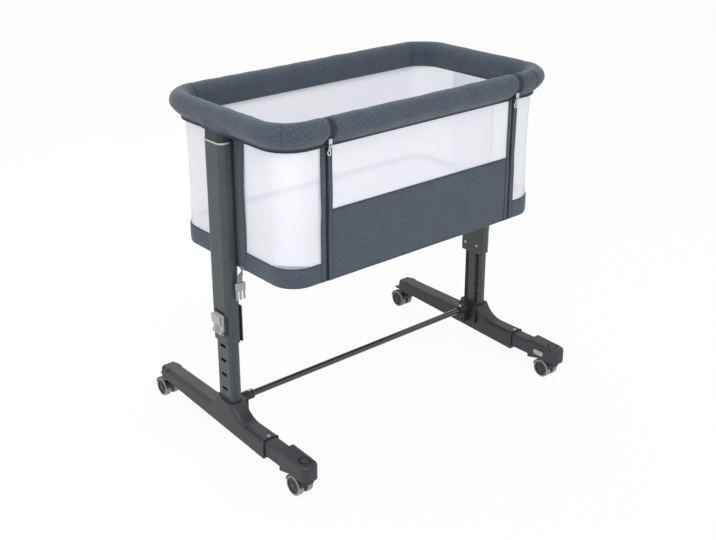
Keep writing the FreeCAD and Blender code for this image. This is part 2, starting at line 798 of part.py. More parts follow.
def make_sleeve():
    """Outer sleeve that slides on the column, with ears for the release lever."""
    sleeve = new_body("sleeve_right")
    pad(sleeve, outline(sleeve, "XY_Plane", "sleeve_low", rounded(
        "sleeve_width / 2", "sleeve_depth / 2", "sleeve_round", "column_centre")),
        "sleeve_high - sleeve_low")
    pocket(sleeve, outline(sleeve, "XY_Plane", "sleeve_low", rounded(
        "column_width / 2 + slide_fit", "column_depth / 2 + slide_fit", "column_round",
        "column_centre")), "sleeve_high - sleeve_low", back=True)
    pivot = f"{SLEEVE_OUTER} + lever_barrel + 0.4"
    for side in ("-", "+"):
        start = f"{side} (lever_half + slide_fit)"
        start = f"0 {start}" if side == "+" else f"0 {start} - ear_thick"
        block(sleeve, (f"{SLEEVE_OUTER} - 0.5", start, "lever_low - 4"),
              (f"{pivot} + 2.6", f"{start} + ear_thick", "lever_low + 4"))
    rod(sleeve, "y", (pivot, "-lever_half - ear_thick - 2", "lever_low"),
        "lever_pin_radius + seat_fit", "2 * (lever_half + ear_thick + 2)", cut=True)
    rod(sleeve, "x", (f"{COLUMN_OUTER}", "0", LOCK_LEVEL), "lock_radius + turning_fit",
        "sleeve_width", cut=True)
    keep_pair(sleeve, "sleeve")

    lever_pin = new_body("lever_pin")
    rod(lever_pin, "y", (pivot, "-lever_half - ear_thick", "lever_low"),
        "lever_pin_radius", "2 * (lever_half + ear_thick)")
    keep_both(lever_pin, "lever_pins")

    lever = new_body("release_lever_right")
    back = f"{SLEEVE_OUTER} + 0.4"
    block(lever, (back, "-lever_half", "lever_low"),
          (f"{back} + lever_thick", "lever_half", "lever_low + lever_length"))
    soften(lever, "4", lambda edge: (
        along(edge, "x") and edge.BoundBox.ZMin > mm("lever_low + lever_length") - 1))
    soften(lever, "2.5", lambda edge: (
        at(edge, "x", f"{back} + lever_thick") and edge.BoundBox.ZMax > mm("lever_low") + 2))
    rod(lever, "y", (pivot, "-lever_half", "lever_low"), "lever_barrel", "2 * lever_half")
    block(lever, (f"{back} - 1", "-lock_radius - 2", f"{LOCK_LEVEL} - lock_radius - 3"),
          (f"{back} + lever_thick - 2", "lock_radius + 2", f"{LOCK_LEVEL} + lock_radius + 3"),
          cut=True)
    rod(lever, "y", (pivot, "-lever_half - 1", "lever_low"),
        "lever_pin_radius + turning_fit", "2 * (lever_half + 1)", cut=True)
    keep_pair(lever, "release_lever")

    lock = new_body("lock_pin_right")
    rod(lock, "x", (f"{COLUMN_OUTER} + lock_gap", "0", LOCK_LEVEL), "lock_radius",
        "(sleeve_width - column_width) / 2 + lever_seat - lock_gap")
    keep_pair(lock, "lock_pin")

    plate = new_body("guide_plate")
    block(plate, (f"{SLEEVE_INNER} - guide_plate_thick", "-sleeve_depth / 2 + 1", "sleeve_low"),
          (SLEEVE_INNER, "sleeve_depth / 2 - 1", "sleeve_low + guide_plate_height"))
    soften(plate, "3", lambda edge: along(edge, "x"))
    keep_both(plate, "guide_plates")

    screws = []
    for side in ("-", ""):
        screw = new_body("guide_screw")
        rod(screw, "x", (f"{SLEEVE_INNER} - guide_plate_thick - screw_head",
                         f"{side}guide_screw_offset", "guide_screw_level"),
            "screw_radius", "screw_head")
        screws.append(screw)
        screws.append(mirrored(screw, screw.Label + "_mirror"))
    keep_group(screws, "guide_screws")


def make_column_head():
    """Ring on the sleeve and the head that carries the rim tube."""
    ring = new_body("trim_ring")
    pad(ring, outline(ring, "XY_Plane", "sleeve_high", rounded(
        "sleeve_width / 2 + 0.4", "sleeve_depth / 2 + 0.4", "sleeve_round", "column_centre")),
        "ring_height")
    keep_both(ring, "trim_rings")

    head = new_body("column_head")
    half = "sleeve_width / 2 - head_margin"
    deep = "sleeve_depth / 2 - head_margin"
    pad(head, outline(head, "XY_Plane", RING_TOP, rounded(
        half, deep, "sleeve_round - head_margin", "column_centre")), "head_height")
    block(head, ("rim_half_length - saddle_width / 2", "-saddle_depth / 2", RING_TOP),
          ("rim_half_length + saddle_width / 2", "saddle_depth / 2", "rim_level"))
    rod(head, "y", ("rim_half_length", "-saddle_depth", "rim_level"),
        "rim_tube_radius + seat_fit", "2 * saddle_depth", cut=True)
    keep_both(head, "column_heads")


# ---- rim ----

def rim_path(half_width, start):
    """Line of the rim from the left of the drop side, round the back, to its right."""
    far = mm("rim_half_length")
    deep = mm(half_width)
    bend = mm("rim_corner")
    level = mm("rim_level")
    diagonal = bend * (1 - math.sqrt(0.5))
    points = []
    arcs = []
    for side_x, side_y in ((-1, -1), (-1, 1), (1, 1), (1, -1)):
        corner = VECTOR(side_x * far, side_y * deep, level)
        along_x = corner - VECTOR(side_x * bend, 0, 0)
        along_y = corner - VECTOR(0, side_y * bend, 0)
        middle = corner - VECTOR(side_x * diagonal, side_y * diagonal, 0)
        ends = [along_x, along_y] if side_x * side_y > 0 else [along_y, along_x]
        arcs.append(Part.Arc(ends[0], middle, ends[1]).toShape())
        points.append(ends)
    begin = VECTOR(-mm(start), -deep, level)
    finish = VECTOR(mm(start), -deep, level)
    edges = [Part.makeLine(begin, points[0][0]), arcs[0]]
    for index in range(1, 4):
        edges.append(Part.makeLine(points[index - 1][1], points[index][0]))
        edges.append(arcs[index])
    edges.append(Part.makeLine(points[3][1], finish))
    return Part.Wire(edges), begin


def rim_section(centre, ease=0.0):
    """Teardrop of the padded rail: round over the tube, drawn in to the hem below."""
    radius = mm("rim_pad_radius") - ease
    drop = mm("hem_level - rim_level") + ease
    shoulder = math.radians(-25)
    across = radius * math.cos(shoulder)
    down = radius * math.sin(shoulder)
    outer_hem = VECTOR(0, mm("hem_outer") + ease, drop)
    inner_hem = VECTOR(0, mm("hem_inner") - ease, drop)
    outer = VECTOR(0, -across, down)
    inner = VECTOR(0, across, down)
    edges = [
        Part.Arc(outer, VECTOR(0, 0, radius), inner).toShape(),
        Part.makeLine(inner, inner_hem),
        Part.makeLine(inner_hem, outer_hem),
        Part.makeLine(outer_hem, outer),
    ]
    wire = Part.Wire(edges)
    wire.translate(centre)
    return wire


def made(label, shape):
    """Sub-part whose shape comes from a sweep or a loft."""
    item = doc.addObject("Part::Feature", label)
    item.Shape = shape
    item.Label = label
    item.Placement = FreeCAD.Placement()
    return item


def swept(path, section):
    return path.makePipeShell([section], True, False)


def tube_section(centre, radius):
    circle = Part.Circle(centre, VECTOR(1, 0, 0), radius)
    return Part.Wire([circle.toShape()])


def make_rim():
    """Steel tube and its padded cover round three sides, carried by the column heads."""
    path, begin = rim_path("rim_half_width", "zip_place")
    keep(made("rim_tube", swept(path, tube_section(begin, mm("rim_tube_radius")))))

    path, begin = rim_path("rim_half_width", "zip_place + zip_gap / 2 + soft_fit")
    cover = swept(path, rim_section(begin))
    bore = swept(path, tube_section(begin, mm("rim_tube_radius + soft_fit")))
    depth = mm("boot_depth")
    for side in (-1, 1):
        reach = mm("column_centre + sleeve_width / 2 + boot_overhang")
        inner = mm("body_half_length - 1")
        low = mm(f"{HEAD_TOP} + soft_fit")
        tall = mm("boot_height")
        start = inner if side > 0 else -reach
        boot = Part.makeBox(reach - inner, depth, tall, VECTOR(start, -depth / 2, low))
        boot = boot.makeFillet(9, [edge for edge in boot.Edges if (
            edge.BoundBox.ZMin > low + tall - 0.1
            and abs(abs(centre_on(edge, "x")) - reach) < 0.1)
            or (along(edge, "z") and abs(abs(centre_on(edge, "x")) - reach) < 0.1)])
        cover = cover.fuse(boot)
    cover = cover.cut(bore)
    for side in (-1, 1):
        fit = mm("soft_fit")
        half = mm("sleeve_width / 2 - head_margin") + fit
        deep = mm("sleeve_depth / 2 - head_margin") + fit
        low = mm(RING_TOP)
        middle = mm("column_centre") * side
        pocket_low = Part.makeBox(2 * half, 2 * deep, mm("head_height") + fit,
                                  VECTOR(middle - half, -deep, low))
        half = mm("saddle_width / 2") + fit
        deep = mm("saddle_depth / 2") + fit
        middle = mm("rim_half_length") * side
        pocket_high = Part.makeBox(2 * half, 2 * deep, mm(f"rim_level - ({RING_TOP})"),
                                   VECTOR(middle - half, -deep, low))
        cover = cover.cut(pocket_low).cut(pocket_high)
    keep(made("rim_pad", cover.removeSplitter()))


def straight_rail(half_length):
    """Start of a straight rail along X on the drop side."""
    begin = VECTOR(-mm(half_length), -mm("rim_half_width"), mm("rim_level"))
    end = VECTOR(mm(half_length), begin.y, begin.z)
    return Part.Wire([Part.makeLine(begin, end)]), begin


def make_drop_side():
    """Front side that folds down: rail, padded cover, mesh window and cloth panel."""
    half = "zip_place - zip_gap / 2 - soft_fit"
    rail = new_body("drop_rail")
    rod(rail, "x", (f"-({half})", "-rim_half_width", "rim_level"), "rim_tube_radius",
        f"2 * ({half})")
    keep(rail)
    path, begin = straight_rail(half)
    cover = swept(path, rim_section(begin))
    bore = swept(path, tube_section(begin, mm("rim_tube_radius + soft_fit")))
    keep(made("drop_rail_pad", cover.cut(bore)))

    front = "-body_half_width - soft_fit - panel_thick"
    panel = new_body("drop_panel")
    block(panel, ("-panel_half", front, "body_low + 1"),
          ("panel_half", f"{front} + panel_thick", "panel_high"))
    keep(panel)
    window = new_body("drop_mesh")
    block(window, ("-panel_half", f"{front} + panel_step", "panel_high"),
          ("panel_half", f"{front} + panel_step + mesh_thick", BODY_TOP))
    keep(window)


# ---- cloth body ----

def ring_wall(label, thick, low, high):
    """Thin upright wall all round the body."""
    wall = new_body(label)
    pad(wall, outline(wall, "XY_Plane", low, rounded(
        "body_half_length", "body_half_width", "body_corner")), f"({high}) - ({low})")
    pocket(wall, outline(wall, "XY_Plane", low, rounded(
        f"body_half_length - {thick}", f"body_half_width - {thick}",
        f"body_corner - {thick}")), f"({high}) - ({low})", back=True)
    return wall


def make_cloth_body():
    """Lower band, base board, mesh walls and the cloth strips down the ends."""
    band_top = "body_low + band_height"
    keep(ring_wall("lower_band", "band_thick", "body_low", band_top))

    walls = ring_wall("mesh_walls", "mesh_thick", band_top, BODY_TOP)
    edge = "zip_place + zip_gap / 2"
    block(walls, (f"-({edge})", "-body_half_width - 1", f"({band_top}) - 1"),
          (edge, "-body_half_width + 20", "rim_level"), cut=True)
    keep(walls)

    board = new_body("base_board")
    inset = "band_thick + soft_fit"
    pad(board, outline(board, "XY_Plane", "body_low + 1", rounded(
        f"body_half_length - ({inset})", f"body_half_width - ({inset})",
        f"body_corner - ({inset})")), "board_thick")
    keep(board)

    strip = new_body("end_strip")
    middle = f"({band_top} + {BODY_TOP}) / 2"
    low = "body_low + 1"
    profile = outline(strip, "YZ_Plane", "body_half_length + soft_fit", [
        ("-strip_front", low),
        ("strip_rear", low, "strip_wave_radius * 6", -1),
        ("strip_rear", middle, "strip_wave_radius * 8", 1),
        ("strip_rear + strip_wave", BODY_TOP),
        ("-strip_front - strip_wave", BODY_TOP, "strip_wave_radius * 8", -1),
        ("-strip_front", middle, "strip_wave_radius * 6", 1),
    ])
    pad(strip, profile, "strip_thick")
    keep_both(strip, "end_strips")


def rounded_wire(half_x, half_y, radius, level):
    """Rounded rectangle of lines and arcs at one level."""
    edges = []
    middle = radius * math.sqrt(0.5)
    centres = [(half_x - radius, half_y - radius, 1, 1), (-half_x + radius, half_y - radius, -1, 1),
               (-half_x + radius, -half_y + radius, -1, -1),
               (half_x - radius, -half_y + radius, 1, -1)]
    ends = []
    for x, y, side_x, side_y in centres:
        first = VECTOR(x + side_x * radius, y, level)
        last = VECTOR(x, y + side_y * radius, level)
        if side_x * side_y < 0:
            first, last = last, first
        through = VECTOR(x + side_x * middle, y + side_y * middle, level)
        ends.append((first, last, Part.Arc(first, through, last).toShape()))
    for index, (first, last, arc) in enumerate(ends):
        edges.append(arc)
        edges.append(Part.makeLine(last, ends[(index + 1) % 4][0]))
    return Part.Wire(edges)


def make_mattress():
    """Foam mattress: drawn-in sides and a low crown."""
    low = mm("body_low + 1 + board_thick")
    top = mm("mattress_top")
    crown = mm("mattress_crown")
    draw = mm("mattress_draw")
    half_x = mm("body_half_length - band_thick - mattress_gap")
    half_y = mm("body_half_width - band_thick - mattress_gap")
    corner = mm("body_corner - mattress_gap")
    tall = top - low
    levels = [
        (draw, low),
        (0, low + tall * 0.18),
        (draw * 0.5, low + tall * 0.5),
        (0, low + tall * 0.8),
        (draw, top - crown * 0.6),
        (draw * 4, top),
        (draw * 18, top + crown),
    ]
    wires = [rounded_wire(half_x - inset, half_y - inset, max(corner - inset, draw), level)
             for inset, level in levels]
    keep(made("mattress", Part.makeLoft(wires, True, True)))


# ---- zips and straps ----

def make_zips():
    """Zip tapes beside the drop side, their wraps round the rim, and the two sliders."""
    tapes = []
    front = "-body_half_width - soft_fit - panel_thick"
    for side in (-1, 1):
        low = mm("zip_place - zip_gap / 2")
        high = mm("zip_place + zip_gap / 2")
        begin = VECTOR(low if side > 0 else -high, -mm("rim_half_width"), mm("rim_level"))
        end = begin + VECTOR(high - low, 0, 0)
        path = Part.Wire([Part.makeLine(begin, end)])
        wrap = swept(path, rim_section(begin, ease=0.6))
        wrap = wrap.cut(swept(path, tube_section(begin, mm("rim_tube_radius + soft_fit"))))
        wide = mm("zip_tape_width")
        x = mm("zip_tape_start") if side > 0 else -mm("zip_tape_start") - wide
        tall = mm(f"{BODY_TOP} - (body_low + 1)") + 1.5
        tape = Part.makeBox(wide, mm("panel_thick"), tall, VECTOR(x, mm(front), mm("body_low + 1")))
        tapes.append(wrap.fuse(tape) if wrap.distToShape(tape)[0] < 0.001 else wrap)
        if wrap.distToShape(tape)[0] >= 0.001:
            tapes.append(tape)
    keep(made("zip_tapes", Part.makeCompound(tapes)))

    slider = new_body("zip_slider_right")
    back = f"{front} - soft_fit"
    block(slider, ("zip_place - slider_width / 2", f"{back} - slider_thick", "slider_level"),
          ("zip_place + slider_width / 2", back, "slider_level + slider_height * 0.8"))
    soften(slider, "1.6", lambda edge: along(edge, "y"))
    block(slider, ("zip_place - pull_width / 2", f"{back} - slider_thick - pull_thick",
                   "slider_level + slider_height * 0.6 - pull_length"),
          ("zip_place + pull_width / 2", f"{back} - slider_thick",
           "slider_level + slider_height * 0.6"))
    keep_pair(slider, "zip_slider")


def make_bed_strap():
    """Webbing stub and half buckle that tie the crib to the big bed."""
    top = "body_low + 8"
    start = "-body_half_length - strip_thick - 2 * soft_fit"
    middle = "body_half_length + strip_thick + 3 * soft_fit + strap_width / 2"
    strap = new_body("bed_strap")
    profile = outline(strap, "XZ_Plane", "-strap_place", [
        (start, top),
        (f"{start} - 3", top),
        (f"-({middle}) - strap_width / 2", f"{top} - strap_length"),
        (f"-({middle}) + strap_width / 2", f"{top} - strap_length"),
    ])
    pad(strap, profile, "strap_thick", both_ways=True)
    keep(strap)

    buckle = new_body("strap_buckle")
    buckle_top = f"{top} - strap_length + 1"
    reach = "buckle_width / 2"
    block(buckle, (f"-({middle}) - {reach}", "-strap_place - buckle_thick / 2",
                   f"{buckle_top} - buckle_length * 0.45"),
          (f"-({middle}) + {reach}", "-strap_place + buckle_thick / 2", buckle_top))
    soften(buckle, "2", lambda edge: along(edge, "y"))
    block(buckle, (f"-({middle}) - strap_width / 2 - 0.4", "-strap_place - strap_thick / 2 - 0.1",
                   f"{buckle_top} - 1.1"),
          (f"-({middle}) + strap_width / 2 + 0.4", "-strap_place + strap_thick / 2 + 0.1",
           f"{buckle_top} + 1"), cut=True)
    for offset, wide in (("-buckle_width / 2 + 2.5", "2"), ("0", "2.5"),
                         ("buckle_width / 2 - 2.5", "2")):
        block(buckle, (f"-({middle}) + {offset} - {wide}", "-strap_place - buckle_thick / 4",
                       f"{buckle_top} - buckle_length"),
              (f"-({middle}) + {offset} + {wide}", "-strap_place + buckle_thick / 4",
               f"{buckle_top} - buckle_length * 0.4"))
    keep(buckle)


make_foot_casing()
make_rear_end_caps()
make_column()
make_cross_bar()
make_extension()
make_caster("front", "-stem_front", "stem_height + 4")
make_caster("rear", "stem_rear", "stem_height + 4")
make_brake()
make_sleeve()
make_column_head()
make_rim()
make_drop_side()
make_cloth_body()
make_mattress()
make_zips()
make_bed_strap()

doc.recompute()
for item in doc.Objects:
    if "Invalid" in item.State or "Error" in item.State:
        raise ValueError(f"{item.Label} did not build: {item.State}")
for item in nodes:
    if item.Shape.isNull() or not item.Shape.isValid():
        raise ValueError(f"{item.Label} has no valid shape")

os.makedirs("parts", exist_ok=True)
for item in nodes:
    item.Shape.exportStep(f"parts/{item.Label}.step")
print(len(nodes), "sub-parts written")
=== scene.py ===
import functools
import math

import bmesh
import bpy
import numpy as np
from mathutils import Matrix, Vector, noise


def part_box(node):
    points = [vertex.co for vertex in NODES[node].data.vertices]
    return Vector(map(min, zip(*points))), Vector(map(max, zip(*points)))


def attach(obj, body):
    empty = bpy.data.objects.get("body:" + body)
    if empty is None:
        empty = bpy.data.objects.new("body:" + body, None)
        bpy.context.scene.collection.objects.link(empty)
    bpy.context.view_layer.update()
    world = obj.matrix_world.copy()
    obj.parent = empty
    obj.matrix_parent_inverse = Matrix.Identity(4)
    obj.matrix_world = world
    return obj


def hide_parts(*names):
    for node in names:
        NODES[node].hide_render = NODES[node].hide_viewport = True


bl_info = {
    "name": "Bedside sleeper crib",
    "version": (1, 0, 0),
    "blender": (4, 5, 0),
    "location": "View3D > Sidebar > Crib",
    "description": "Sews, paints and lights the bedside sleeper crib around its frame",
    "category": "Object",
}

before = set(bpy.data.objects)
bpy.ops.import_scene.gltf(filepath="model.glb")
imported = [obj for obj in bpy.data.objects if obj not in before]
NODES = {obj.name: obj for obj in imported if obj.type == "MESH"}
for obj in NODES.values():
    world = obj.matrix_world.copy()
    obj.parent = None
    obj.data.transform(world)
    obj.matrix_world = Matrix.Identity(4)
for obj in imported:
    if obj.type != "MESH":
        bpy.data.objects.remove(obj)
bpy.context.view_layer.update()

MM = 0.001
SIDES = {"left": -1, "right": 1}
ENDS = ("front", "rear")

# Places of the frame, in millimetres, as the part's own sizes give them.
COLUMN_X, COLUMN_HALF_X = 418.5, 14.5
SLEEVE_HALF_X, SLEEVE_HALF_Y, SLEEVE_ROUND = 19.0, 35.0, 14.0
LADDER_Y, LADDER_LOW, LADDER_HIGH = 18.0, 131.0, 432.0
FRONT_STEM_Y, WHEEL_Z = -290.0, 24.0
SLOT_RADIUS, SLOT_Z = 12.5, 89.2
BODY_LOW, BAND_TOP, PANEL_TOP = 466.0, 511.0, 632.0
PANEL_HALF, PANEL_FRONT = 284.0, 219.3
ZIP_X, ZIP_GAP, RAIL_GAP = 290.0, 13.0, 0.3
MATTRESS_LOW, MATTRESS_TOP, MATTRESS_CROWN = 473.0, 510.0, 5.0

# The corners are tighter than the solids' corners, because the photo shows them so.
RIM_HALF_X, RIM_HALF_Y, RIM_CORNER, RIM_Z = 411.0, 222.0, 76.0, 818.0
BODY_HALF_X, BODY_HALF_Y, BODY_CORNER = 396.0, 217.5, 60.0

# The padded rail: its hems are measured outwards from the rim's line, and over a column's
# head the outer hem moves up and out.
PAD_RADIUS, SHOULDER_ANGLE = 24.0, math.radians(25)
HEM_Z, HEM_OUTER, HEM_INNER = 777.0, -3.0, -16.0
HEAD_UP, HEAD_OUT, HEM_LIP = 13.5, 27.0, 6.0
HEM_FADE = 14.0
END_PINCH, SEAM_PINCH = (0.09, 4.5), (0.035, 3.5)
DENT_SIZE = 46.0
RIM_SEAMS = ((-389.2, -199.7), (345.0, -222.0), (352.0, 222.0), (-352.0, 222.0))

# Half sizes of a stitch: along, across and up.
STITCH, LINING_STITCH = (1.25, 0.38, 0.32), (1.3, 0.5, 0.4)
# Level, half width, half height, wire radius and distance out of each ring of a zip's pull.
SLIDER_RINGS = ((793.0, 2.4, 4.4, 1.0, 11.6), (784.0, 3.4, 3.8, 1.0, 10.4),
                (775.5, 2.4, 5.0, 1.1, 7.6), (765.0, 3.9, 5.8, 1.2, 5.0))
# Radius and height of each ring of a domed screw head.
SCREW_RINGS = ((4.0, 0.0), (4.0, 0.5), (3.6, 1.1), (2.6, 1.55))


# ---- small tools ----

def linear(code):
    """Scene colour of an sRGB hex value such as '4f5965'."""
    values = [int(code[i:i + 2], 16) / 255 for i in (0, 2, 4)]
    return tuple(v / 12.92 if v <= 0.04045 else ((v + 0.055) / 1.055) ** 2.4
                 for v in values) + (1.0,)


def add(tree, kind, inputs=None, **fields):
    """Adds a node, sets its fields, and sets or links its inputs."""
    node = tree.nodes.new(kind)
    for field, value in fields.items():
        setattr(node, field, value)
    for key, value in (inputs or {}).items():
        socket = node.inputs[key]
        if isinstance(value, bpy.types.NodeSocket):
            tree.links.new(value, socket)
        else:
            socket.default_value = value
    return node


def placed(name, data):
    """Object with that data, linked into the scene."""
    thing = bpy.data.objects.new(name, data)
    bpy.context.scene.collection.objects.link(thing)
    return thing


def running(points):
    """Length along points from the first one to each."""
    gaps = np.linalg.norm(np.diff(points, axis=0), axis=1)
    return np.concatenate([[0], np.cumsum(gaps)])


def box_of(node):
    """Lowest and highest corner of a node of the frame, in millimetres."""
    return [np.array(corner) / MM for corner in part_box(node)]


def along_ring(half_x, half_y, corner, step, start=None):
    """Points, outward directions and lengths along a rounded rectangle, in millimetres.

    It runs from the front's left part round the left end, the back and the right end to the
    front's right part, at a distance start from the middle, or all the way round."""
    begin = 0.0 if start is None else start
    flat_x, flat_y = half_x - corner, half_y - corner
    runs = [("line", (-begin, -half_y), (-flat_x, -half_y), (0, -1)),
            ("arc", (-flat_x, -flat_y), -90, -180),
            ("line", (-half_x, -flat_y), (-half_x, flat_y), (-1, 0)),
            ("arc", (-flat_x, flat_y), 180, 90),
            ("line", (-flat_x, half_y), (flat_x, half_y), (0, 1)),
            ("arc", (flat_x, flat_y), 90, 0),
            ("line", (half_x, flat_y), (half_x, -flat_y), (1, 0)),
            ("arc", (flat_x, -flat_y), 0, -90),
            ("line", (flat_x, -half_y), (begin, -half_y), (0, -1))]
    points, outward = [], []
    for kind, first, second, last in runs:
        length = (math.dist(first, second) if kind == "line"
                  else math.radians(second - last) * corner)
        count = max(2, round(length / step))
        for index in range(count):
            share = index / count
            if kind == "line":
                points.append([a + (b - a) * share for a, b in zip(first, second)])
                outward.append(last)
            else:
                turn = math.radians(second + (last - second) * share)
                outward.append((math.cos(turn), math.sin(turn)))
                points.append([first[0] + corner * outward[-1][0],
                               first[1] + corner * outward[-1][1]])
    points.append([begin, -half_y])
    outward.append((0, -1))
    points, outward = np.array(points, float), np.array(outward, float)
    return points, outward, running(points)


def mesh_piece(name, vertices, faces, uv=None, smooth=True):
    """Object of that name with its mesh in metres and its UV map, if any, in metres too."""
    mesh = bpy.data.meshes.new(name)
    mesh.from_pydata([tuple(v) for v in np.asarray(vertices, float) * MM], [], faces)
    if uv is not None:
        layer = mesh.uv_layers.new(name="UVMap")
        layer.data.foreach_set("uv", (np.asarray(uv, float) * MM).ravel())
    if smooth:
        mesh.shade_smooth()
    return placed(name, mesh)


def grid_piece(name, points, across, along, ring=False, tube=False, caps=False, flip=False):
    """Surface through rows of points. The UV map gives the distances across and along it.

    points has the shape (rows, columns, 3). ring joins the last row to the first, tube the
    last column to the first, and caps close a tube's two ends."""
    points = np.asarray(points, float)
    rows, columns = points.shape[:2]
    faces, uv = [], []
    for i in range(rows if ring else rows - 1):
        for j in range(columns if tube else columns - 1):
            corners = [(i, j), (i, j + 1), (i + 1, j + 1), (i + 1, j)]
            if flip:
                corners.reverse()
            faces.append([(a % rows) * columns + b % columns for a, b in corners])
            uv += [(along[a], across[b]) for a, b in corners]
    if caps:
        last = (rows - 1) * columns
        for loop in (range(columns)[::-1], range(last, last + columns)):
            faces.append(list(loop))
            uv += [(0.0, across[k % columns]) for k in loop]
    return mesh_piece(name, points.reshape(-1, 3), faces, uv)


def outward_faces(piece, merge=None):
    """Turns a closed piece's faces outwards, after merging points that are that close."""
    work = bmesh.new()
    work.from_mesh(piece.data)
    if merge is not None:
        bmesh.ops.remove_doubles(work, verts=work.verts, dist=merge * MM)
    bmesh.ops.recalc_face_normals(work, faces=work.faces)
    work.to_mesh(piece.data)
    work.free()
    return piece


def flat_faces(piece):
    """Shades a piece's faces flat."""
    for face in piece.data.polygons:
        face.use_smooth = False
    return piece


def settle(piece):
    """Turns what the modifiers make into the piece's own mesh."""
    graph = bpy.context.evaluated_depsgraph_get()
    made = bpy.data.meshes.new_from_object(
        piece.evaluated_get(graph), preserve_all_data_layers=True, depsgraph=graph)
    piece.modifiers.clear()
    piece.data = made
    made.name = piece.name
    return piece


def thicken(piece, thick, offset=0.0):
    """Gives a sheet its thickness and applies it."""
    solid = piece.modifiers.new("thickness", "SOLIDIFY")
    solid.thickness = thick * MM
    solid.offset = offset
    return settle(piece)


def dress(piece, body, material, replaces=()):
    """Gives a piece its material and body, and hides the nodes that it stands for."""
    if material is not None:
        piece.data.materials.clear()
        piece.data.materials.append(MATERIALS[material]())
    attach(piece, body)
    if replaces:
        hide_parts(*replaces)
    return piece


def join(name, pieces):
    """One object from several loose meshes."""
    work = bmesh.new()
    for piece in pieces:
        work.from_mesh(piece.data)
        bpy.data.objects.remove(piece)
    mesh = bpy.data.meshes.new(name)
    work.to_mesh(mesh)
    work.free()
    return placed(name, mesh)


# ---- patterns that repeat, made by Geometry Nodes ----

def repeat_tree():
    """Node tree that sets copies of an item along lines, or on single points, of the input.

    The lines' points carry 'up', the direction away from the surface, and 'way', the
    direction that a single point's item turns to."""
    name = "set along lines"
    if name in bpy.data.node_groups:
        return bpy.data.node_groups[name]
    tree = bpy.data.node_groups.new(name, "GeometryNodeTree")
    face = tree.interface
    face.new_socket("Geometry", in_out="INPUT", socket_type="NodeSocketGeometry")
    face.new_socket("Item", in_out="INPUT", socket_type="NodeSocketObject")
    pitch = face.new_socket("Pitch", in_out="INPUT", socket_type="NodeSocketFloat")
    pitch.subtype, pitch.default_value = "DISTANCE", 0.004
    face.new_socket("Single points", in_out="INPUT", socket_type="NodeSocketBool")
    face.new_socket("Material", in_out="INPUT", socket_type="NodeSocketMaterial")
    face.new_socket("Geometry", in_out="OUTPUT", socket_type="NodeSocketGeometry")
    start = add(tree, "NodeGroupInput").outputs
    item = add(tree, "GeometryNodeObjectInfo", {"Object": start["Item"]}).outputs["Geometry"]
    curve = add(tree, "GeometryNodeMeshToCurve", {"Mesh": start["Geometry"]}).outputs["Curve"]
    spaced = add(tree, "GeometryNodeResampleCurve",
                 {"Curve": curve, "Length": start["Pitch"]}, mode="LENGTH").outputs["Curve"]
    up = add(tree, "GeometryNodeInputNamedAttribute", {"Name": "up"},
             data_type="FLOAT_VECTOR").outputs["Attribute"]
    way = add(tree, "GeometryNodeInputNamedAttribute", {"Name": "way"},
              data_type="FLOAT_VECTOR").outputs["Attribute"]
    tangent = add(tree, "GeometryNodeInputTangent").outputs["Tangent"]
    lifted = add(tree, "FunctionNodeAlignRotationToVector", {"Vector": up},
                 axis="Z").outputs["Rotation"]
    ready = []
    for points, heading in ((spaced, tangent), (start["Geometry"], way)):
        turned = add(tree, "FunctionNodeAlignRotationToVector",
                     {"Rotation": lifted, "Vector": heading},
                     axis="X", pivot_axis="Z").outputs["Rotation"]
        ready.append(add(tree, "GeometryNodeInstanceOnPoints",
                         {"Points": points, "Instance": item, "Rotation": turned}
                         ).outputs["Instances"])
    chosen = add(tree, "GeometryNodeSwitch",
                 {"Switch": start["Single points"], "False": ready[0], "True": ready[1]},
                 input_type="GEOMETRY").outputs["Output"]
    plain = add(tree, "GeometryNodeRealizeInstances", {"Geometry": chosen}).outputs["Geometry"]
    painted = add(tree, "GeometryNodeSetMaterial",
                  {"Geometry": plain, "Material": start["Material"]}).outputs["Geometry"]
    add(tree, "NodeGroupOutput", {"Geometry": painted})
    return tree


def repeated(name, body, lines, ups, item, pitch, material, ways=None, replaces=()):
    """Copies of an item along lines of points, or on single points where ways are given."""
    points, edges = [], []
    for line in lines:
        first = len(points)
        points += [tuple(np.asarray(p, float) * MM) for p in line]
        if ways is None:
            edges += [(first + i, first + i + 1) for i in range(len(line) - 1)]
    mesh = bpy.data.meshes.new(name)
    mesh.from_pydata(points, edges, [])
    given = {"up": ups} if ways is None else {"up": ups, "way": ways}
    for label, rows in given.items():
        layer = mesh.attributes.new(label, "FLOAT_VECTOR", "POINT")
        layer.data.foreach_set("vector", np.array(
            [tuple(v) for row in rows for v in row], float).ravel())
    piece = placed(name, mesh)
    tree = repeat_tree()
    modifier = piece.modifiers.new("repeat", "NODES")
    modifier.node_group = tree
    values = {"Item": item, "Pitch": float(pitch) * MM, "Single points": ways is not None,
              "Material": MATERIALS[material]()}
    for socket in tree.interface.items_tree:
        if socket.name in values:
            modifier[socket.identifier] = values[socket.name]
    settle(piece)
    for label in given:
        if label in piece.data.attributes:
            piece.data.attributes.remove(piece.data.attributes[label])
    return dress(piece, body, None, replaces)


def on_points(name, body, places, item, material, replaces=()):
    """Copies of an item on places, each given as a point, its up and its way."""
    points, ups, ways = zip(*places)
    return repeated(name, body, [points], [ups], item, 1.0, material, [ways], replaces)


def stitches(name, body, lines, ups, cloth):
    """Rows of sewing thread in the linen."""
    return repeated(name, body, lines, ups, bead("stitch", STITCH), cloth.stitch_pitch / MM,
                    "sewing_thread")


ITEMS = []


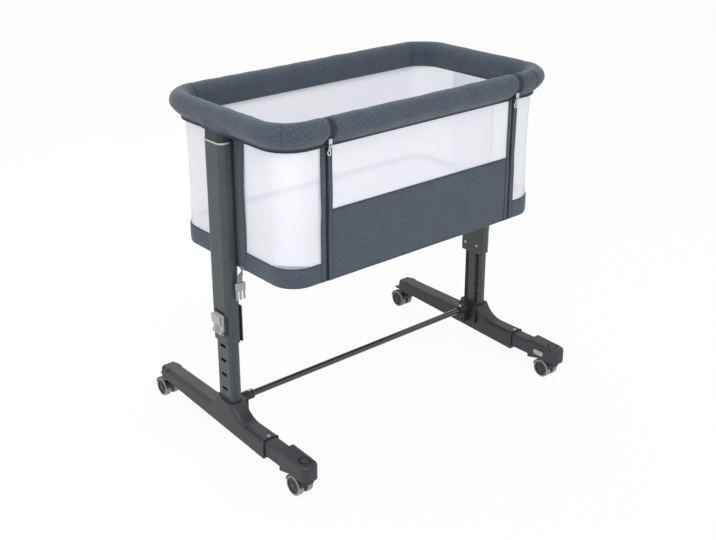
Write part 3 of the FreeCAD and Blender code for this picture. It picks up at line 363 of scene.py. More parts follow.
def loose(name, work):
    """Helper object from a bmesh. It is removed before the scene is finished."""
    bmesh.ops.recalc_face_normals(work, faces=work.faces)
    mesh = bpy.data.meshes.new(name)
    work.to_mesh(mesh)
    work.free()
    for face in mesh.polygons:
        face.use_smooth = True
    ITEMS.append(placed(name, mesh))
    return ITEMS[-1]


def bead(name, size, around=6, rings=4):
    """Small rounded thread end or tooth: half sizes along, across and up, in millimetres."""
    work = bmesh.new()
    bmesh.ops.create_uvsphere(work, u_segments=around, v_segments=rings, radius=1.0)
    work.transform(Matrix.Diagonal([s * MM for s in size] + [1.0])
                   @ Matrix.Rotation(math.pi / 2, 4, "Y"))
    return loose(name, work)


def blocks(*sizes, centre=(0.0, 0.0, 0.0)):
    """Bmesh of boxes with those sizes round one centre, in millimetres."""
    work = bmesh.new()
    for size in sizes:
        bmesh.ops.create_cube(work, size=1.0, matrix=Matrix.Translation(
            [c * MM for c in centre]) @ Matrix.Diagonal([s * MM for s in size] + [1.0]))
    return work


def tube_piece(name, line, radius, closed=False, sides=8):
    """Round cord or piping along points in millimetres, with closed ends."""
    line = np.asarray(line, float)
    ahead = np.roll(line, -1, 0) - np.roll(line, 1, 0)
    if not closed:
        ahead[0], ahead[-1] = line[1] - line[0], line[-1] - line[-2]
    ahead /= np.linalg.norm(ahead, axis=1)[:, None]
    side = np.cross(ahead, [0, 0, 1.0])
    weak = np.linalg.norm(side, axis=1) < 0.2
    side[weak] = np.cross(ahead[weak], [1.0, 0, 0])
    for index in range(1, len(line)):
        if np.dot(side[index], side[index - 1]) < 0:
            side[index] *= -1
    side /= np.linalg.norm(side, axis=1)[:, None]
    top = np.cross(side, ahead)
    turns = np.linspace(0, 2 * math.pi, sides, endpoint=False)
    rows = np.array([line + radius * (math.cos(t) * side + math.sin(t) * top) for t in turns])
    length = list(running(line))
    return outward_faces(grid_piece(
        name, rows.transpose(1, 0, 2), list(turns * radius) + [2 * math.pi * radius],
        length + length[-1:], ring=closed, tube=True, caps=not closed))


def piping(name, body, lines, radius, material="painted_shade_binding", **more):
    """Cord of cloth along one line, or several joined to one piece."""
    cords = [tube_piece(name, line, radius, **more) for line in lines]
    cord = join(name, cords) if len(cords) > 1 else cords[0]
    return dress(cord, body, material)


# ---- finishes ----

MATERIALS = {}


def finish(build):
    """Keeps a finish under its function's name. All its pieces share one material."""
    MATERIALS[build.__name__] = functools.cache(build)
    return build


def finish_of(name):
    """New material with its node tree, its Principled shader and its object coordinates."""
    material = bpy.data.materials.new(name)
    material.use_nodes = True
    tree = material.node_tree
    return material, tree, tree.nodes["Principled BSDF"], add(tree, "ShaderNodeTexCoord")


def scaled(tree, coords, sizes):
    """Coordinates in which one pattern cell is as large as sizes, in millimetres."""
    return add(tree, "ShaderNodeVectorMath",
               {0: coords, 1: [1 / (size * MM) for size in sizes]},
               operation="MULTIPLY").outputs["Vector"]


def noise_value(tree, coords, sizes, detail=2.0, rough=0.5):
    return add(tree, "ShaderNodeTexNoise",
               {"Vector": scaled(tree, coords, sizes), "Scale": 1.0, "Detail": detail,
                "Roughness": rough}).outputs["Fac"]


def rib_value(tree, coords, sizes, way="X", **more):
    return add(tree, "ShaderNodeTexWave",
               {"Vector": scaled(tree, coords, sizes), "Scale": 0.5, **more},
               bands_direction=way).outputs["Fac"]


def hole_value(tree, coords, sizes, uneven):
    return add(tree, "ShaderNodeTexVoronoi",
               {"Vector": scaled(tree, coords, sizes), "Scale": 1.0, "Randomness": uneven},
               voronoi_dimensions="2D").outputs["Distance"]


def maths(tree, kind, first, second=0.0, clamp=False):
    return add(tree, "ShaderNodeMath", {0: first, 1: second}, operation=kind,
               use_clamp=clamp).outputs["Value"]


def spread(tree, value, low, high, to_low=0.0, to_high=1.0):
    return add(tree, "ShaderNodeMapRange",
               {"Value": value, "From Min": low, "From Max": high, "To Min": to_low,
                "To Max": to_high}).outputs["Result"]


def colour(tree, shader, share, first, second):
    """Base colour between two hex colours or scene colours."""
    ends = [linear(c) if isinstance(c, str) else c for c in (first, second)]
    node = add(tree, "ShaderNodeMix", {0: share, 6: ends[0], 7: ends[1]}, data_type="RGBA")
    tree.links.new(node.outputs[2], shader.inputs["Base Color"])


def bump(tree, shader, height, strength, distance):
    made = add(tree, "ShaderNodeBump",
               {"Height": height, "Strength": strength, "Distance": distance * MM})
    tree.links.new(made.outputs["Normal"], shader.inputs["Normal"])


def set_shader(shader, **values):
    for label, value in values.items():
        label = label.replace("_", " ").title().replace("Ior", "IOR")
        shader.inputs[label].default_value = value


def patterned(name, space, pattern, dark, light, relief=None, **values):
    """Finish whose colour, and relief if given as (strength, depth), follow one pattern."""
    material, tree, shader, coords = finish_of(name)
    share = pattern(tree, coords.outputs[space])
    colour(tree, shader, share, dark, light)
    if relief:
        bump(tree, shader, share, *relief)
    set_shader(shader, **values)
    return material


def linen_cloth(name, dark, light):
    """Polyester linen, plain woven from heathered yarn: pale and dark flecks, no gloss."""
    material, tree, shader, coords = finish_of(name)
    flat = coords.outputs["UV"]
    # Yarn is 0.6 mm thick; the flecks are drawn 1.7 mm wide so that they show.
    warp = noise_value(tree, flat, (9.0, 1.7, 1.0), 1.0)
    weft = noise_value(tree, flat, (1.7, 7.0, 1.0), 1.0)
    fleck = noise_value(tree, flat, (3.2, 3.2, 1.0), 2.0, 0.7)
    blotch = noise_value(tree, flat, (55.0, 55.0, 1.0), 3.0)
    yarn = maths(tree, "ADD", maths(tree, "ADD", warp, weft), fleck)
    tone = maths(tree, "ADD", spread(tree, yarn, 1.05, 1.95), spread(
        tree, blotch, 0.3, 0.7, -0.09, 0.09), clamp=True)
    colour(tree, shader, tone, dark, light)
    threads = [rib_value(tree, flat, (1.4, 1.4, 1.0), way, Distortion=0.6) for way in "XY"]
    bump(tree, shader, maths(tree, "ADD", maths(tree, "MULTIPLY", *threads), yarn), 0.35, 0.25)
    set_shader(shader, roughness=0.9, sheen_weight=0.25, sheen_roughness=0.5,
               specular_ior_level=0.2)
    return material


@finish
def slate_linen():
    """Slate blue-grey linen of the rim, band, panel and strips."""
    tones = bpy.context.scene.crib_cloth
    return linen_cloth("slate linen", tones.linen_dark, tones.linen_light)


@finish
def painted_shade_binding():
    """Folded linen piping along the seams: the same cloth, its colour darkened as painted
    shade of the fold.
    """
    return linen_cloth("linen piping", "2b323b", "3b444f")


@finish
def painted_shade_piping():
    """Near-black piping round the rail's ends: the same cloth, its colour darkened to near
    black as painted shade of the tight roll.
    """
    return linen_cloth("black piping", "14181f", "232a33")


@finish
def net_cloth():
    """Warp-knitted polyester net: white threads round small holes that let light through."""
    material, tree, shader, coords = finish_of("white net")
    flat = coords.outputs["UV"]
    # Holes are 1.2 mm wide in the real net, and drawn 2.4 mm apart.
    thread = spread(tree, hole_value(tree, flat, (2.4, 2.1, 1.0), 0.12), 0.18, 0.42)
    tree.links.new(spread(tree, thread, 0, 1, 0.6, 0.84), shader.inputs["Alpha"])
    haze = noise_value(tree, flat, (90.0, 120.0, 1.0))
    colour(tree, shader, haze, "f3f4fa", "f8f9fd")
    bump(tree, shader, thread, 0.2, 0.15)
    set_shader(shader, roughness=0.75, sheen_weight=0.1, specular_ior_level=0.2)
    return material


@finish
def spacer_net():
    """Thick spacer net on the mattress border: grey-white threads, with rows of dark pits
    painted as the shade inside its holes.
    """
    return patterned("spacer net", "UV", lambda tree, flat: spread(
        tree, hole_value(tree, flat, (4.0, 3.4, 1.0), 0.05), 0.2, 0.42),
        "565c68", "c2c6d0", (0.6, 0.8), roughness=0.8, specular_ior_level=0.2)


@finish
def mattress_cloth():
    """Brushed white polyester cover: soft, with a faint knit and low sheen."""
    material, tree, shader, coords = finish_of("brushed cover")
    flat = coords.outputs["Object"]
    knit = rib_value(tree, flat, (2.5, 2.5, 2.5), Distortion=1.5)
    cloud = noise_value(tree, flat, (45.0, 45.0, 45.0), 3.0)
    colour(tree, shader, cloud, "dde0e9", "e5e8f0")
    bump(tree, shader, maths(tree, "ADD", knit, cloud), 0.15, 0.4)
    set_shader(shader, roughness=0.85, sheen_weight=0.2, specular_ior_level=0.2)
    return material


@finish
def lining_cloth():
    """Close white lining cloth over the column seats inside the ends."""
    return patterned("white lining", "UV", lambda tree, flat: noise_value(
        tree, flat, (1.5, 10.0, 1.0)), "e6e8ef", "f0f1f7", (0.2, 0.2),
        roughness=0.8, specular_ior_level=0.2)


@finish
def zip_tape():
    """Woven navy polyester tape: a fine rib across and a soft sheen."""
    return patterned("zip tape", "UV", lambda tree, flat: rib_value(
        tree, flat, (1.2, 1.2, 1.0)), "1f2530", "333b4a", (0.4, 0.2),
        roughness=0.7, sheen_weight=0.2, specular_ior_level=0.3)


@finish
def coil_nylon():
    """Wound nylon zip coil: near black, smooth, with small highlights."""
    return patterned("nylon coil", "Object", lambda tree, place: noise_value(
        tree, place, (3.0, 3.0, 3.0)), "0e1118", "1a1f29",
        roughness=0.5, specular_ior_level=0.3, ior=1.53)


def thread(name, dark, light):
    """Twisted polyester sewing thread."""
    return patterned(name, "Object", lambda tree, place: noise_value(
        tree, place, (0.8, 0.8, 0.8)), dark, light, roughness=0.6, specular_ior_level=0.4)


@finish
def sewing_thread():
    """Sewing thread a shade darker than the linen."""
    return thread("sewing thread", "2c3440", "414b59")


@finish
def grey_thread():
    """Grey sewing thread on the white lining."""
    return thread("grey thread", "757b86", "8c929d")


@finish
def strap_webbing():
    """Polypropylene webbing: coarse ribs across its width, slightly shiny."""
    material, tree, shader, coords = finish_of("strap webbing")
    rib = rib_value(tree, coords.outputs["UV"], (2.2, 2.2, 1.0))
    worn = noise_value(tree, coords.outputs["UV"], (7.0, 7.0, 1.0))
    tone = maths(tree, "ADD", maths(tree, "MULTIPLY", rib, 0.6),
                 maths(tree, "MULTIPLY", worn, 0.4))
    colour(tree, shader, tone, "75797a", "9da1a1")
    bump(tree, shader, rib, 0.7, 0.5)
    set_shader(shader, roughness=0.6, sheen_weight=0.15, specular_ior_level=0.35)
    return material


@finish
def fibre_board():
    """Hardboard base under black backing cloth: dark, fibrous and matt."""
    return patterned("backing cloth", "Object", lambda tree, place: noise_value(
        tree, place, (1.2, 9.0, 1.2), 3.0), "2b2f36", "3b4048", (0.4, 0.2),
        roughness=0.9, specular_ior_level=0.2)


def worn_hard(name, dark, light, grain, rough, level, ior, depth, **more):
    """Hard finish: a slow tone change, a fine grain in the bump and uneven roughness."""
    material, tree, shader, coords = finish_of(name)
    place = coords.outputs["Object"]
    cloud = noise_value(tree, place, (70.0, 70.0, 70.0), 3.0)
    fine = noise_value(tree, place, (grain,) * 3, 1.0)
    tone = maths(tree, "ADD", maths(tree, "MULTIPLY", cloud, 0.7),
                 maths(tree, "MULTIPLY", fine, 0.3))
    colour(tree, shader, spread(tree, tone, 0.3, 0.7), dark, light)
    tree.links.new(spread(tree, cloud, 0.3, 0.7, rough - 0.05, rough + 0.06),
                   shader.inputs["Roughness"])
    bump(tree, shader, fine, 0.3, depth)
    set_shader(shader, specular_ior_level=level, ior=ior, **more)
    return material


def plated(name, dark, light, rough):
    """Plated metal: bright, with fine rub marks."""
    material, tree, shader, coords = finish_of(name)
    rub = noise_value(tree, coords.outputs["Object"], (0.5, 6.0, 6.0), 2.0)
    colour(tree, shader, rub, dark, light)
    tree.links.new(spread(tree, rub, 0.3, 0.7, rough - 0.06, rough + 0.08),
                   shader.inputs["Roughness"])
    bump(tree, shader, rub, 0.15, 0.03)
    set_shader(shader, metallic=1.0)
    return material


# Name, dark and light colour, grain in millimetres, roughness, specular level, index of
# refraction and depth of the grain in millimetres.
HARD = {
    # ABS moulded in a grained tool: dark grey with a touch of violet, matt.
    "moulded_abs": ("moulded ABS", "2b2c30", "35363b", 0.9, 0.52, 0.45, 1.53, 0.06),
    # Glass-filled nylon of the heads and brackets: nearly black, fine grain.
    "dark_nylon": ("filled nylon", "212225", "2b2c30", 0.8, 0.5, 0.4, 1.53, 0.06),
    # Powder-coated steel tube: warm dark grey satin with faint orange peel.
    "column_powder": ("satin powder coat", "373c3f", "3f4447", 1.6, 0.42, 0.45, 1.5, 0.03),
    # Stove-lacquered steel rod: near black gloss with a clear highlight.
    "bar_lacquer": ("gloss lacquer", "1f2023", "2a2b2f", 2.0, 0.2, 0.5, 1.5, 0.03),
    # Light grey moulded polypropylene of levers and buttons.
    "lever_pp": ("light polypropylene", "a3a7a5", "b3b7b5", 0.9, 0.45, 0.45, 1.49, 0.05),
    # Grey moulded acetal of the buckle, slightly glossy.
    "buckle_acetal": ("grey acetal", "8d9192", "a9adad", 0.7, 0.34, 0.5, 1.48, 0.04),
    # Soft grey thermoplastic tyre: matt, dusty where it rolls.
    "wheel_rubber": ("grey tyre rubber", "8f9091", "a2a3a3", 0.7, 0.68, 0.35, 1.5, 0.1),
    # Dark moulded caster housing and wheel discs.
    "fender_abs": ("caster ABS", "26272b", "313236", 0.8, 0.42, 0.45, 1.53, 0.05),
    # Painted shade: near-black colour that stands in for the shade in recesses, gaps and slots
    # of the moulded plastic.
    "painted_shade_black": ("recess black", "111214", "18191c", 0.8, 0.6, 0.3, 1.5, 0.05),
}
COATS = {"column_powder": {"coat_weight": 0.15, "coat_roughness": 0.3},
         "bar_lacquer": {"coat_weight": 0.5, "coat_roughness": 0.12}}
# Name, dark and light colour and roughness.
PLATED = {
    # Zinc-plated steel of screws, pins and zip sliders.
    "zinc_plate": ("zinc plate", "cfd1d3", "eceded", 0.28),
    # Satin anodised aluminium trim ring.
    "ring_aluminium": ("satin aluminium", "b0b2b5", "cfd1d3", 0.32),
}
for key, values in HARD.items():
    MATERIALS[key] = functools.cache(functools.partial(
        worn_hard, *values, **COATS.get(key, {})))
for key, values in PLATED.items():
    MATERIALS[key] = functools.cache(functools.partial(plated, *values))


# ---- forms ----

def ease_in(value, low, high):
    """0 below low, 1 above high, and smooth between them."""
    share = np.clip((np.asarray(value, float) - low) / (high - low), 0, 1)
    return share * share * (3 - 2 * share)


def pad_outline(lift, full, ease=0.0):
    """Section of the padded rail from its outer hem over the top to its inner hem.

    Rows of (outwards, upwards) from the rim's line. lift is 1 where the rail rests on a
    column's head, and full is how far its sides swell."""
    radius, turn = PAD_RADIUS - ease, SHOULDER_ANGLE
    low = HEM_Z - RIM_Z + HEAD_UP * lift
    outer = HEM_OUTER - ease + HEAD_OUT * lift
    lip = HEM_LIP * (1 - lift)
    shoulder = np.array([radius * math.cos(turn), -radius * math.sin(turn)])
    foot = np.array([outer, low + lip])
    rows = [np.array([outer, low])]
    for share in np.linspace(0, 1, 9)[:-1]:
        swell = full * math.sin(math.pi * share)
        rows.append(foot + (shoulder - foot) * share + np.array([0.78, -0.62]) * swell)
    for share in np.linspace(0, 1, 25):
        angle = -turn + share * (math.pi + 2 * turn)
        rows.append(radius * np.array([math.cos(angle), math.sin(angle)]))
    inner_foot = np.array([HEM_INNER + ease, HEM_Z - RIM_Z])
    inner_shoulder = shoulder * [-1, 1]
    for share in np.linspace(0, 1, 8)[1:]:
        swell = full * 0.8 * math.sin(math.pi * share)
        rows.append(inner_shoulder + (inner_foot - inner_shoulder) * share
                    - np.array([swell, 0]))
    for share in (0.35, 0.7):
        rows.append(inner_foot + (np.array([outer, low]) - inner_foot) * share)
    return np.array(rows)


def above_hem(heights):
    """0 at the hem and below it, 1 from a little way above it."""
    return np.clip((heights - HEM_Z) / HEM_FADE, 0, 1)


def pad_rows(points, outward, lifts, lengths, full, seams):
    """Rows of a padded rail's surface along the rim's line, drawn in at ends and seams."""
    rows = []
    for point, out, lift, along in zip(points, outward, lifts, lengths):
        outline = pad_outline(lift, full)
        dips = [(END_PINCH, min(along, lengths[-1] - along))]
        dips += [(SEAM_PINCH, along - seam) for seam in seams]
        squeeze = sum(deep * math.exp(-(gap / wide) ** 2) for (deep, wide), gap in dips)
        outline = outline * (1 - squeeze * above_hem(RIM_Z + outline[:, 1:]))
        rows.append(np.hstack([point + out * outline[:, :1], RIM_Z + outline[:, 1:]]))
    return np.array(rows)


def crumple(rows, depth, seed):
    """Soft unevenness of stuffed cloth: moves points in and out of the rail's middle line."""
    shift = Vector((seed, seed * 0.7, seed * 1.3))
    flat = rows.reshape(-1, 3)
    away = flat - np.repeat(rows.mean(axis=1), rows.shape[1], axis=0)
    away /= np.maximum(np.linalg.norm(away, axis=1)[:, None], 1e-6)
    lift = np.array([noise.noise(Vector(p) / DENT_SIZE + shift) + 0.5 * noise.noise(
        Vector(p) / (DENT_SIZE * 0.4) + shift) for p in flat])
    return (flat + away * (lift * depth * above_hem(flat[:, 2]))[:, None]).reshape(rows.shape)


def inflate(piece, held, pressure, cap, frames=20):
    """Blows a closed cloth shape up by simulation and moves no point further than cap."""
    mesh = piece.data
    before = np.zeros(len(mesh.vertices) * 3)
    mesh.vertices.foreach_get("co", before)
    piece.vertex_groups.new(name="held").add([int(i) for i in held], 1.0, "REPLACE")
    cloth = piece.modifiers.new("cloth", "CLOTH")
    for label, value in {
            "quality": 4, "mass": 0.3, "tension_stiffness": 12, "compression_stiffness": 8,
            "shear_stiffness": 5, "bending_stiffness": 0.6, "use_pressure": True,
            "uniform_pressure_force": pressure, "vertex_group_mass": "held",
            "pin_stiffness": 1.0}.items():
        setattr(cloth.settings, label, value)
    cloth.settings.effector_weights.gravity = 0
    cloth.collision_settings.use_collision = False
    cloth.point_cache.frame_start, cloth.point_cache.frame_end = 1, frames
    for step in range(1, frames + 1):
        bpy.context.scene.frame_set(step)
    done = piece.evaluated_get(bpy.context.evaluated_depsgraph_get())
    after = np.zeros(len(done.data.vertices) * 3)
    done.data.vertices.foreach_get("co", after)
    piece.modifiers.remove(cloth)
    piece.vertex_groups.clear()
    bpy.context.scene.frame_set(1)
    move = (after - before).reshape(-1, 3)
    far = np.linalg.norm(move, axis=1)[:, None]
    move *= np.minimum(1, cap * MM / np.maximum(far, 1e-9))
    mesh.vertices.foreach_set("co", (before.reshape(-1, 3) + move).ravel())
    mesh.update()


def wall_rows(points, outward, levels):
    """Rows of an upright cloth wall: levels are (distance outwards, height)."""
    return np.array([[[*(point + out * push), high] for push, high in levels]
                     for point, out in zip(points, outward)])


def lift_at(points):
    """How much the rim's hem is lifted at each point, over the columns' heads."""
    end = np.abs(points[:, 0]) > RIM_HALF_X - 1
    return np.where(end, 1 - ease_in(np.abs(points[:, 1]), 37, 58), 0.0)


def hem_line(points, outward, lifts, out, up):
    """Line that follows the rim's outer hem, out and up from it."""
    push = HEM_OUTER + HEAD_OUT * lifts + out
    return np.column_stack([points + outward * push[:, None],
                            HEM_Z + HEAD_UP * lifts + up])


def padded_rail(names, body, run, padding, seams, seed):
    """Stuffed linen rail with the piping of its hem.

    names are those of the cover, of the node that it stands for and of the piping, and run
    holds the rim's points, outward directions, lifts and lengths."""
    cover_name, node, hem_name = names
    rows = crumple(pad_rows(*run, padding.swell / MM, seams), padding.unevenness / MM, seed)
    across = running(rows[0])
    cover = outward_faces(grid_piece(cover_name, rows, [*across, across[-1] + 4], run[3],
                                     tube=True, caps=True))
    columns = rows.shape[1]
    held = [i * columns + j for i in range(len(rows)) for j in range(columns)
            if j < 1 or j > columns - 4 or i in (0, len(rows) - 1)]
    inflate(cover, held, padding.pressure, 2.5)
    dress(cover, body, "slate_linen", [node])
    piping(hem_name, body, [hem_line(*run[:3], 0.6, 0.8)], 1.5)


def hem_stitching(run):
    """Line of the stitches above a padded rail's hem, and their ups."""
    return hem_line(*run[:3], 0.55, 5.2), np.column_stack([run[1], np.full(len(run[1]), 0.25)])


# ---- settings that a user would change ----

def colour_property(name, description, code):
    return bpy.props.FloatVectorProperty(
        name=name, description=description, default=linear(code), size=4, subtype="COLOR",
        min=0.0, max=1.0)


def length_property(name, description, default, least=0.0):
    """Length setting. default and least are in millimetres."""
    return bpy.props.FloatProperty(
        name=name, description=description, default=default * MM, min=least * MM,
        unit="LENGTH", subtype="DISTANCE")


class CribCloth(bpy.types.PropertyGroup):
    """Colours and sewing of the cloth."""
    linen_dark: colour_property("Linen, dark yarn", "Darker yarn of the linen", "353e49")
    linen_light: colour_property("Linen, light yarn", "Lighter yarn of the linen", "57626e")
    stitch_pitch: length_property(
        "Stitch pitch", "Distance from one stitch to the next", 3.6, 1.5)
    tooth_pitch: length_property(
        "Zip pitch", "Distance from one turn of the zip's coil to the next", 1.7, 1.0)
    net_sag: length_property(
        "Net sag", "How far the net walls draw in at half height", 3.0)


class CribPadding(bpy.types.PropertyGroup):
    """Fullness of the padded rail and the mattress."""
    swell: length_property("Rail swell", "How far the rail's sides swell out", 1.8)
    unevenness: length_property("Unevenness", "Depth of the soft dents in the padding", 1.1)
    pressure: bpy.props.FloatProperty(
        name="Filling pressure", description="Pressure of the filling in the simulation",
        default=4.0, min=0.0, subtype="NONE")


class CribStage(bpy.types.PropertyGroup):
    """Floor and light."""
    floor: colour_property("Floor", "Colour of the floor and the background", "ffffff")
    key_power: bpy.props.FloatProperty(
        name="Key light", description="Power of the main soft box, in watts",
        default=34.0, min=0.0, unit="POWER")
    sky: bpy.props.FloatProperty(
        name="Sky", description="Strength of the even light from all sides",
        default=0.64, min=0.0, subtype="FACTOR")


# ---- pieces ----

HARD_FINISHES = {
    "moulded_abs": ("foot_casing", "rear_end_caps", "front_end_cap", "foot_extension"),
    "column_powder": ("inner_column", "sleeve", "guide_plates"),
    "bar_lacquer": ("cross_bar",),
    "dark_nylon": ("bar_brackets", "column_heads"),
    "zinc_plate": ("lever_pins", "lock_pin", "rim_tube", "drop_rail", "caster_pins",
                   "zip_slider", "base_screws", "guide_screws"),
    "ring_aluminium": ("trim_rings",),
    "lever_pp": ("release_lever", "extension_button"),
    "fender_abs": ("caster_housing", "wheel_hubs", "brake_lever"),
    "wheel_rubber": ("tyres",),
    "fibre_board": ("base_board",),
    "buckle_acetal": ("strap_buckle",),
}


class CribOperator(bpy.types.Operator):
    """One step of making the crib."""
    bl_options = {"UNDO"}

    def execute(self, context):
        self.make(context.scene.crib_cloth, context.scene.crib_padding,
                  context.scene.crib_stage)
        return {"FINISHED"}


class CRIB_OT_hard_parts(CribOperator):
    """Paints the frame's own plastic and metal parts"""
    bl_idname = "crib.hard_parts"
    bl_label = "Hard parts"

    def make(self, cloth, padding, stage):
        for name, node in NODES.items():
            kinds = [kind for kind, stems in HARD_FINISHES.items()
                     for stem in stems if name == stem or name.startswith(stem + "_")]
            if kinds:
                node.data.materials.clear()
                node.data.materials.append(MATERIALS[kinds[0]]())


class CRIB_OT_rim(CribOperator):
    """Padded rim round the left end, the back and the right end"""
    bl_idname = "crib.rim"
    bl_label = "Rim"

    def make(self, cloth, padding, stage):
        points, outward, lengths = along_ring(
            RIM_HALF_X, RIM_HALF_Y, RIM_CORNER, 5.5, ZIP_X + ZIP_GAP / 2 + RAIL_GAP)
        run = points, outward, lift_at(points), lengths
        spots = [int(np.argmin(np.hypot(*(points - seam).T))) for seam in RIM_SEAMS]
        padded_rail(("rim_cover", "rim_pad", "rim_hem_piping"), "crib", run, padding,
                    lengths[spots], 3.1)
        row, ups = hem_stitching(run)
        stitches("rim_hem_stitches", "crib", [row], [ups], cloth)
        seams = []
        for spot in spots:
            outline = pad_outline(run[2][spot], padding.swell / MM)[:-3]
            outline *= 1 - SEAM_PINCH[0] + 0.25 / np.linalg.norm(outline, axis=1)[:, None]
            seams.append(np.column_stack([points[spot] + outward[spot] * outline[:, :1],
                                          RIM_Z + outline[:, 1]]))
        piping("rim_cross_seams", "crib", seams, 0.9, sides=6)


class CRIB_OT_walls(CribOperator):
    """Net walls, the mattress border behind them and the linings of the two ends"""
    bl_idname = "crib.walls"
    bl_label = "Walls"

    def make(self, cloth, padding, stage):
        points, outward, lengths = along_ring(
            BODY_HALF_X - 0.6, BODY_HALF_Y - 0.6, BODY_CORNER, 9.0, ZIP_X + ZIP_GAP / 2)
        low, high = BAND_TOP - 1.0, HEM_Z + 1.5
        sag = cloth.net_sag / MM
        levels = [(-sag * math.sin(math.pi * share), low + (high - low) * share)
                  for share in np.linspace(0, 1, 19)]
        rows = wall_rows(points, outward, levels)
        net = grid_piece("net_walls", rows, [z - low for _, z in levels], lengths, flip=True)
        dress(net, "crib", "net_cloth", ["mesh_walls"])
        self.border()
        self.linings()

    def border(self):
        """Spacer net of the mattress border, low along the sides, and its facing."""
        points, outward, lengths = along_ring(
            BODY_HALF_X - 3.4, BODY_HALF_Y - 3.4, BODY_CORNER - 3, 9.0)
        levels = [(2.6, 500.0), (3.0, 508.0), (3.1, 514.0), (2.6, 519.5), (0.4, 521.5)]
        rows = wall_rows(points, outward, levels)
        flat_x, flat_y = BODY_HALF_X - BODY_CORNER, BODY_HALF_Y - BODY_CORNER
        past = np.minimum(np.abs(points[:, 0]) - flat_x, np.abs(points[:, 1]) - flat_y)
        rows[:, :, 2] = 500 + (rows[:, :, 2] - 500) * (
            0.45 + 0.55 * ease_in(past, -30, 34))[:, None]
        border = grid_piece("mattress_border_net", rows, [z - 500.0 for _, z in levels],
                            lengths, flip=True)
        dress(border, "crib", "spacer_net")
        levels = [(-2.4, 499.0), (-1.6, 510.0), (-3.0, 521.0), (-6.0, 525.0), (-12.0, 526.0)]
        facing = grid_piece("mattress_border_facing", wall_rows(points, outward, levels),
                            [z - 499.0 for _, z in levels], lengths, flip=True)
        dress(facing, "crib", "mattress_cloth")

    def linings(self):
        """White linings over the column seats, stitched down both edges."""
        thread_item = bead("stitch", LINING_STITCH)
        ys, zs = np.linspace(-62.0, 79.0, 15), np.linspace(506.0, HEM_Z + 1.5, 19)
        outs = -1.2 * np.sin(math.pi * (zs - 506) / 272)
        for side, sign in SIDES.items():
            x = sign * (BODY_HALF_X - 5.2)
            rows = [[[x + sign * out, y, z] for z, out in zip(zs, outs)] for y in ys]
            lining = grid_piece(f"end_lining_{side}", rows, zs - 506, ys + 62, flip=sign > 0)
            dress(lining, "crib", "lining_cloth")
            lines = [[[x - sign * 1.6, y, z] for z in zs] for y in (-61.0, 78.0)]
            ups = [[[-sign, 0, 0]] * len(zs)] * 2
            repeated(f"end_lining_stitches_{side}", "crib", lines, ups, thread_item, 4.4,
                     "grey_thread")


class CRIB_OT_band(CribOperator):
    """Linen band round the bottom and the linen strips up the ends"""
    bl_idname = "crib.band"
    bl_label = "Band and end strips"

    def make(self, cloth, padding, stage):
        points, outward, lengths = along_ring(BODY_HALF_X, BODY_HALF_Y, BODY_CORNER, 9.0)
        front = (np.abs(points[:, 0]) < ZIP_X + 12) & (points[:, 1] < 0)
        levels = [(-7.0, 465.6), (-2.2, 465.4), (-0.6, 466.6), (0.2, 470.0), (0.7, 480.0),
                  (0.9, 492.0), (0.6, 503.0), (0.1, 509.0), (-0.5, 511.0), (-1.6, 511.2),
                  (-2.0, 508.0)]
        rows = wall_rows(points, outward, levels)
        # Behind the drop side the band lies flat, so that the panel clears it.
        flat = wall_rows(points, outward, [(min(push, -0.4), z) for push, z in levels])
        rows[front] = flat[front]
        rows[:, 3:8] += np.array([[[*(out * 0.5 * noise.noise(Vector((*p, 0)) / 60)), 0]]
                                  for p, out in zip(points, outward)]) * ~front[:, None, None]
        run = running(levels)
        band = thicken(grid_piece("band", rows, run, lengths, flip=True), 0.9, -1)
        dress(band, "crib", "slate_linen", ["lower_band"])
        keep = ~front
        lines = [np.column_stack([points + outward * push, np.full(len(points), level)])[keep]
                 for level, push in ((506.5, 0.55), (470.5, 0.35), (BAND_TOP, 0.2))]
        ups = np.column_stack([outward, np.zeros(len(points))])[keep]
        stitches("band_stitches", "crib", lines[:2], [ups] * 2, cloth)
        piping("band_piping", "crib", lines[2:], 1.1, sides=6)
        for side, sign in SIDES.items():
            self.end_strip(cloth, side, sign)

    def end_strip(self, cloth, side, sign):
        """Slightly wavy strip up the middle of an end, with its two piped edges."""
        zs = np.linspace(BODY_LOW + 0.5, HEM_Z + 4, 46)
        share = (zs - zs[0]) / (zs[-1] - zs[0])
        wave = 3.6 * np.sin(2 * math.pi * (share * 1.15 + 0.08)) * share ** 0.4
        front = -58.5 - wave - 3.0 * share
        rear = 76.0 + 0.8 * wave + 3.0 * share
        across = np.linspace(0, 1, 23)
        edge = sum(np.exp(-((across - at) / 0.08) ** 2) for at in (0.02, 0.98))
        rows = [np.column_stack([
            sign * (BODY_HALF_X + 0.75 + 0.5 * edge + 0.25 * np.sin(z / 23 + across * 7)),
            low + (high - low) * across, np.full(len(across), z)])
            for z, low, high in zip(zs, front, rear)]
        strip = thicken(grid_piece(f"end_strip_{side}", rows, across * 140, zs - zs[0],
                                   flip=sign < 0), 0.9)
        dress(strip, "crib", "slate_linen", ["end_strips"])

        def upright(out, ys):
            return np.column_stack([np.full(len(zs), sign * (BODY_HALF_X + out)), ys, zs])

        stitches(f"end_strip_stitches_{side}", "crib",
                 [upright(1.95, front + 5.0), upright(1.95, rear - 5.0)],
                 [[[sign, 0, 0]] * len(zs)] * 2, cloth)
        piping(f"end_strip_piping_{side}", "crib", [upright(0.9, front), upright(0.9, rear)],
               0.9, sides=6)


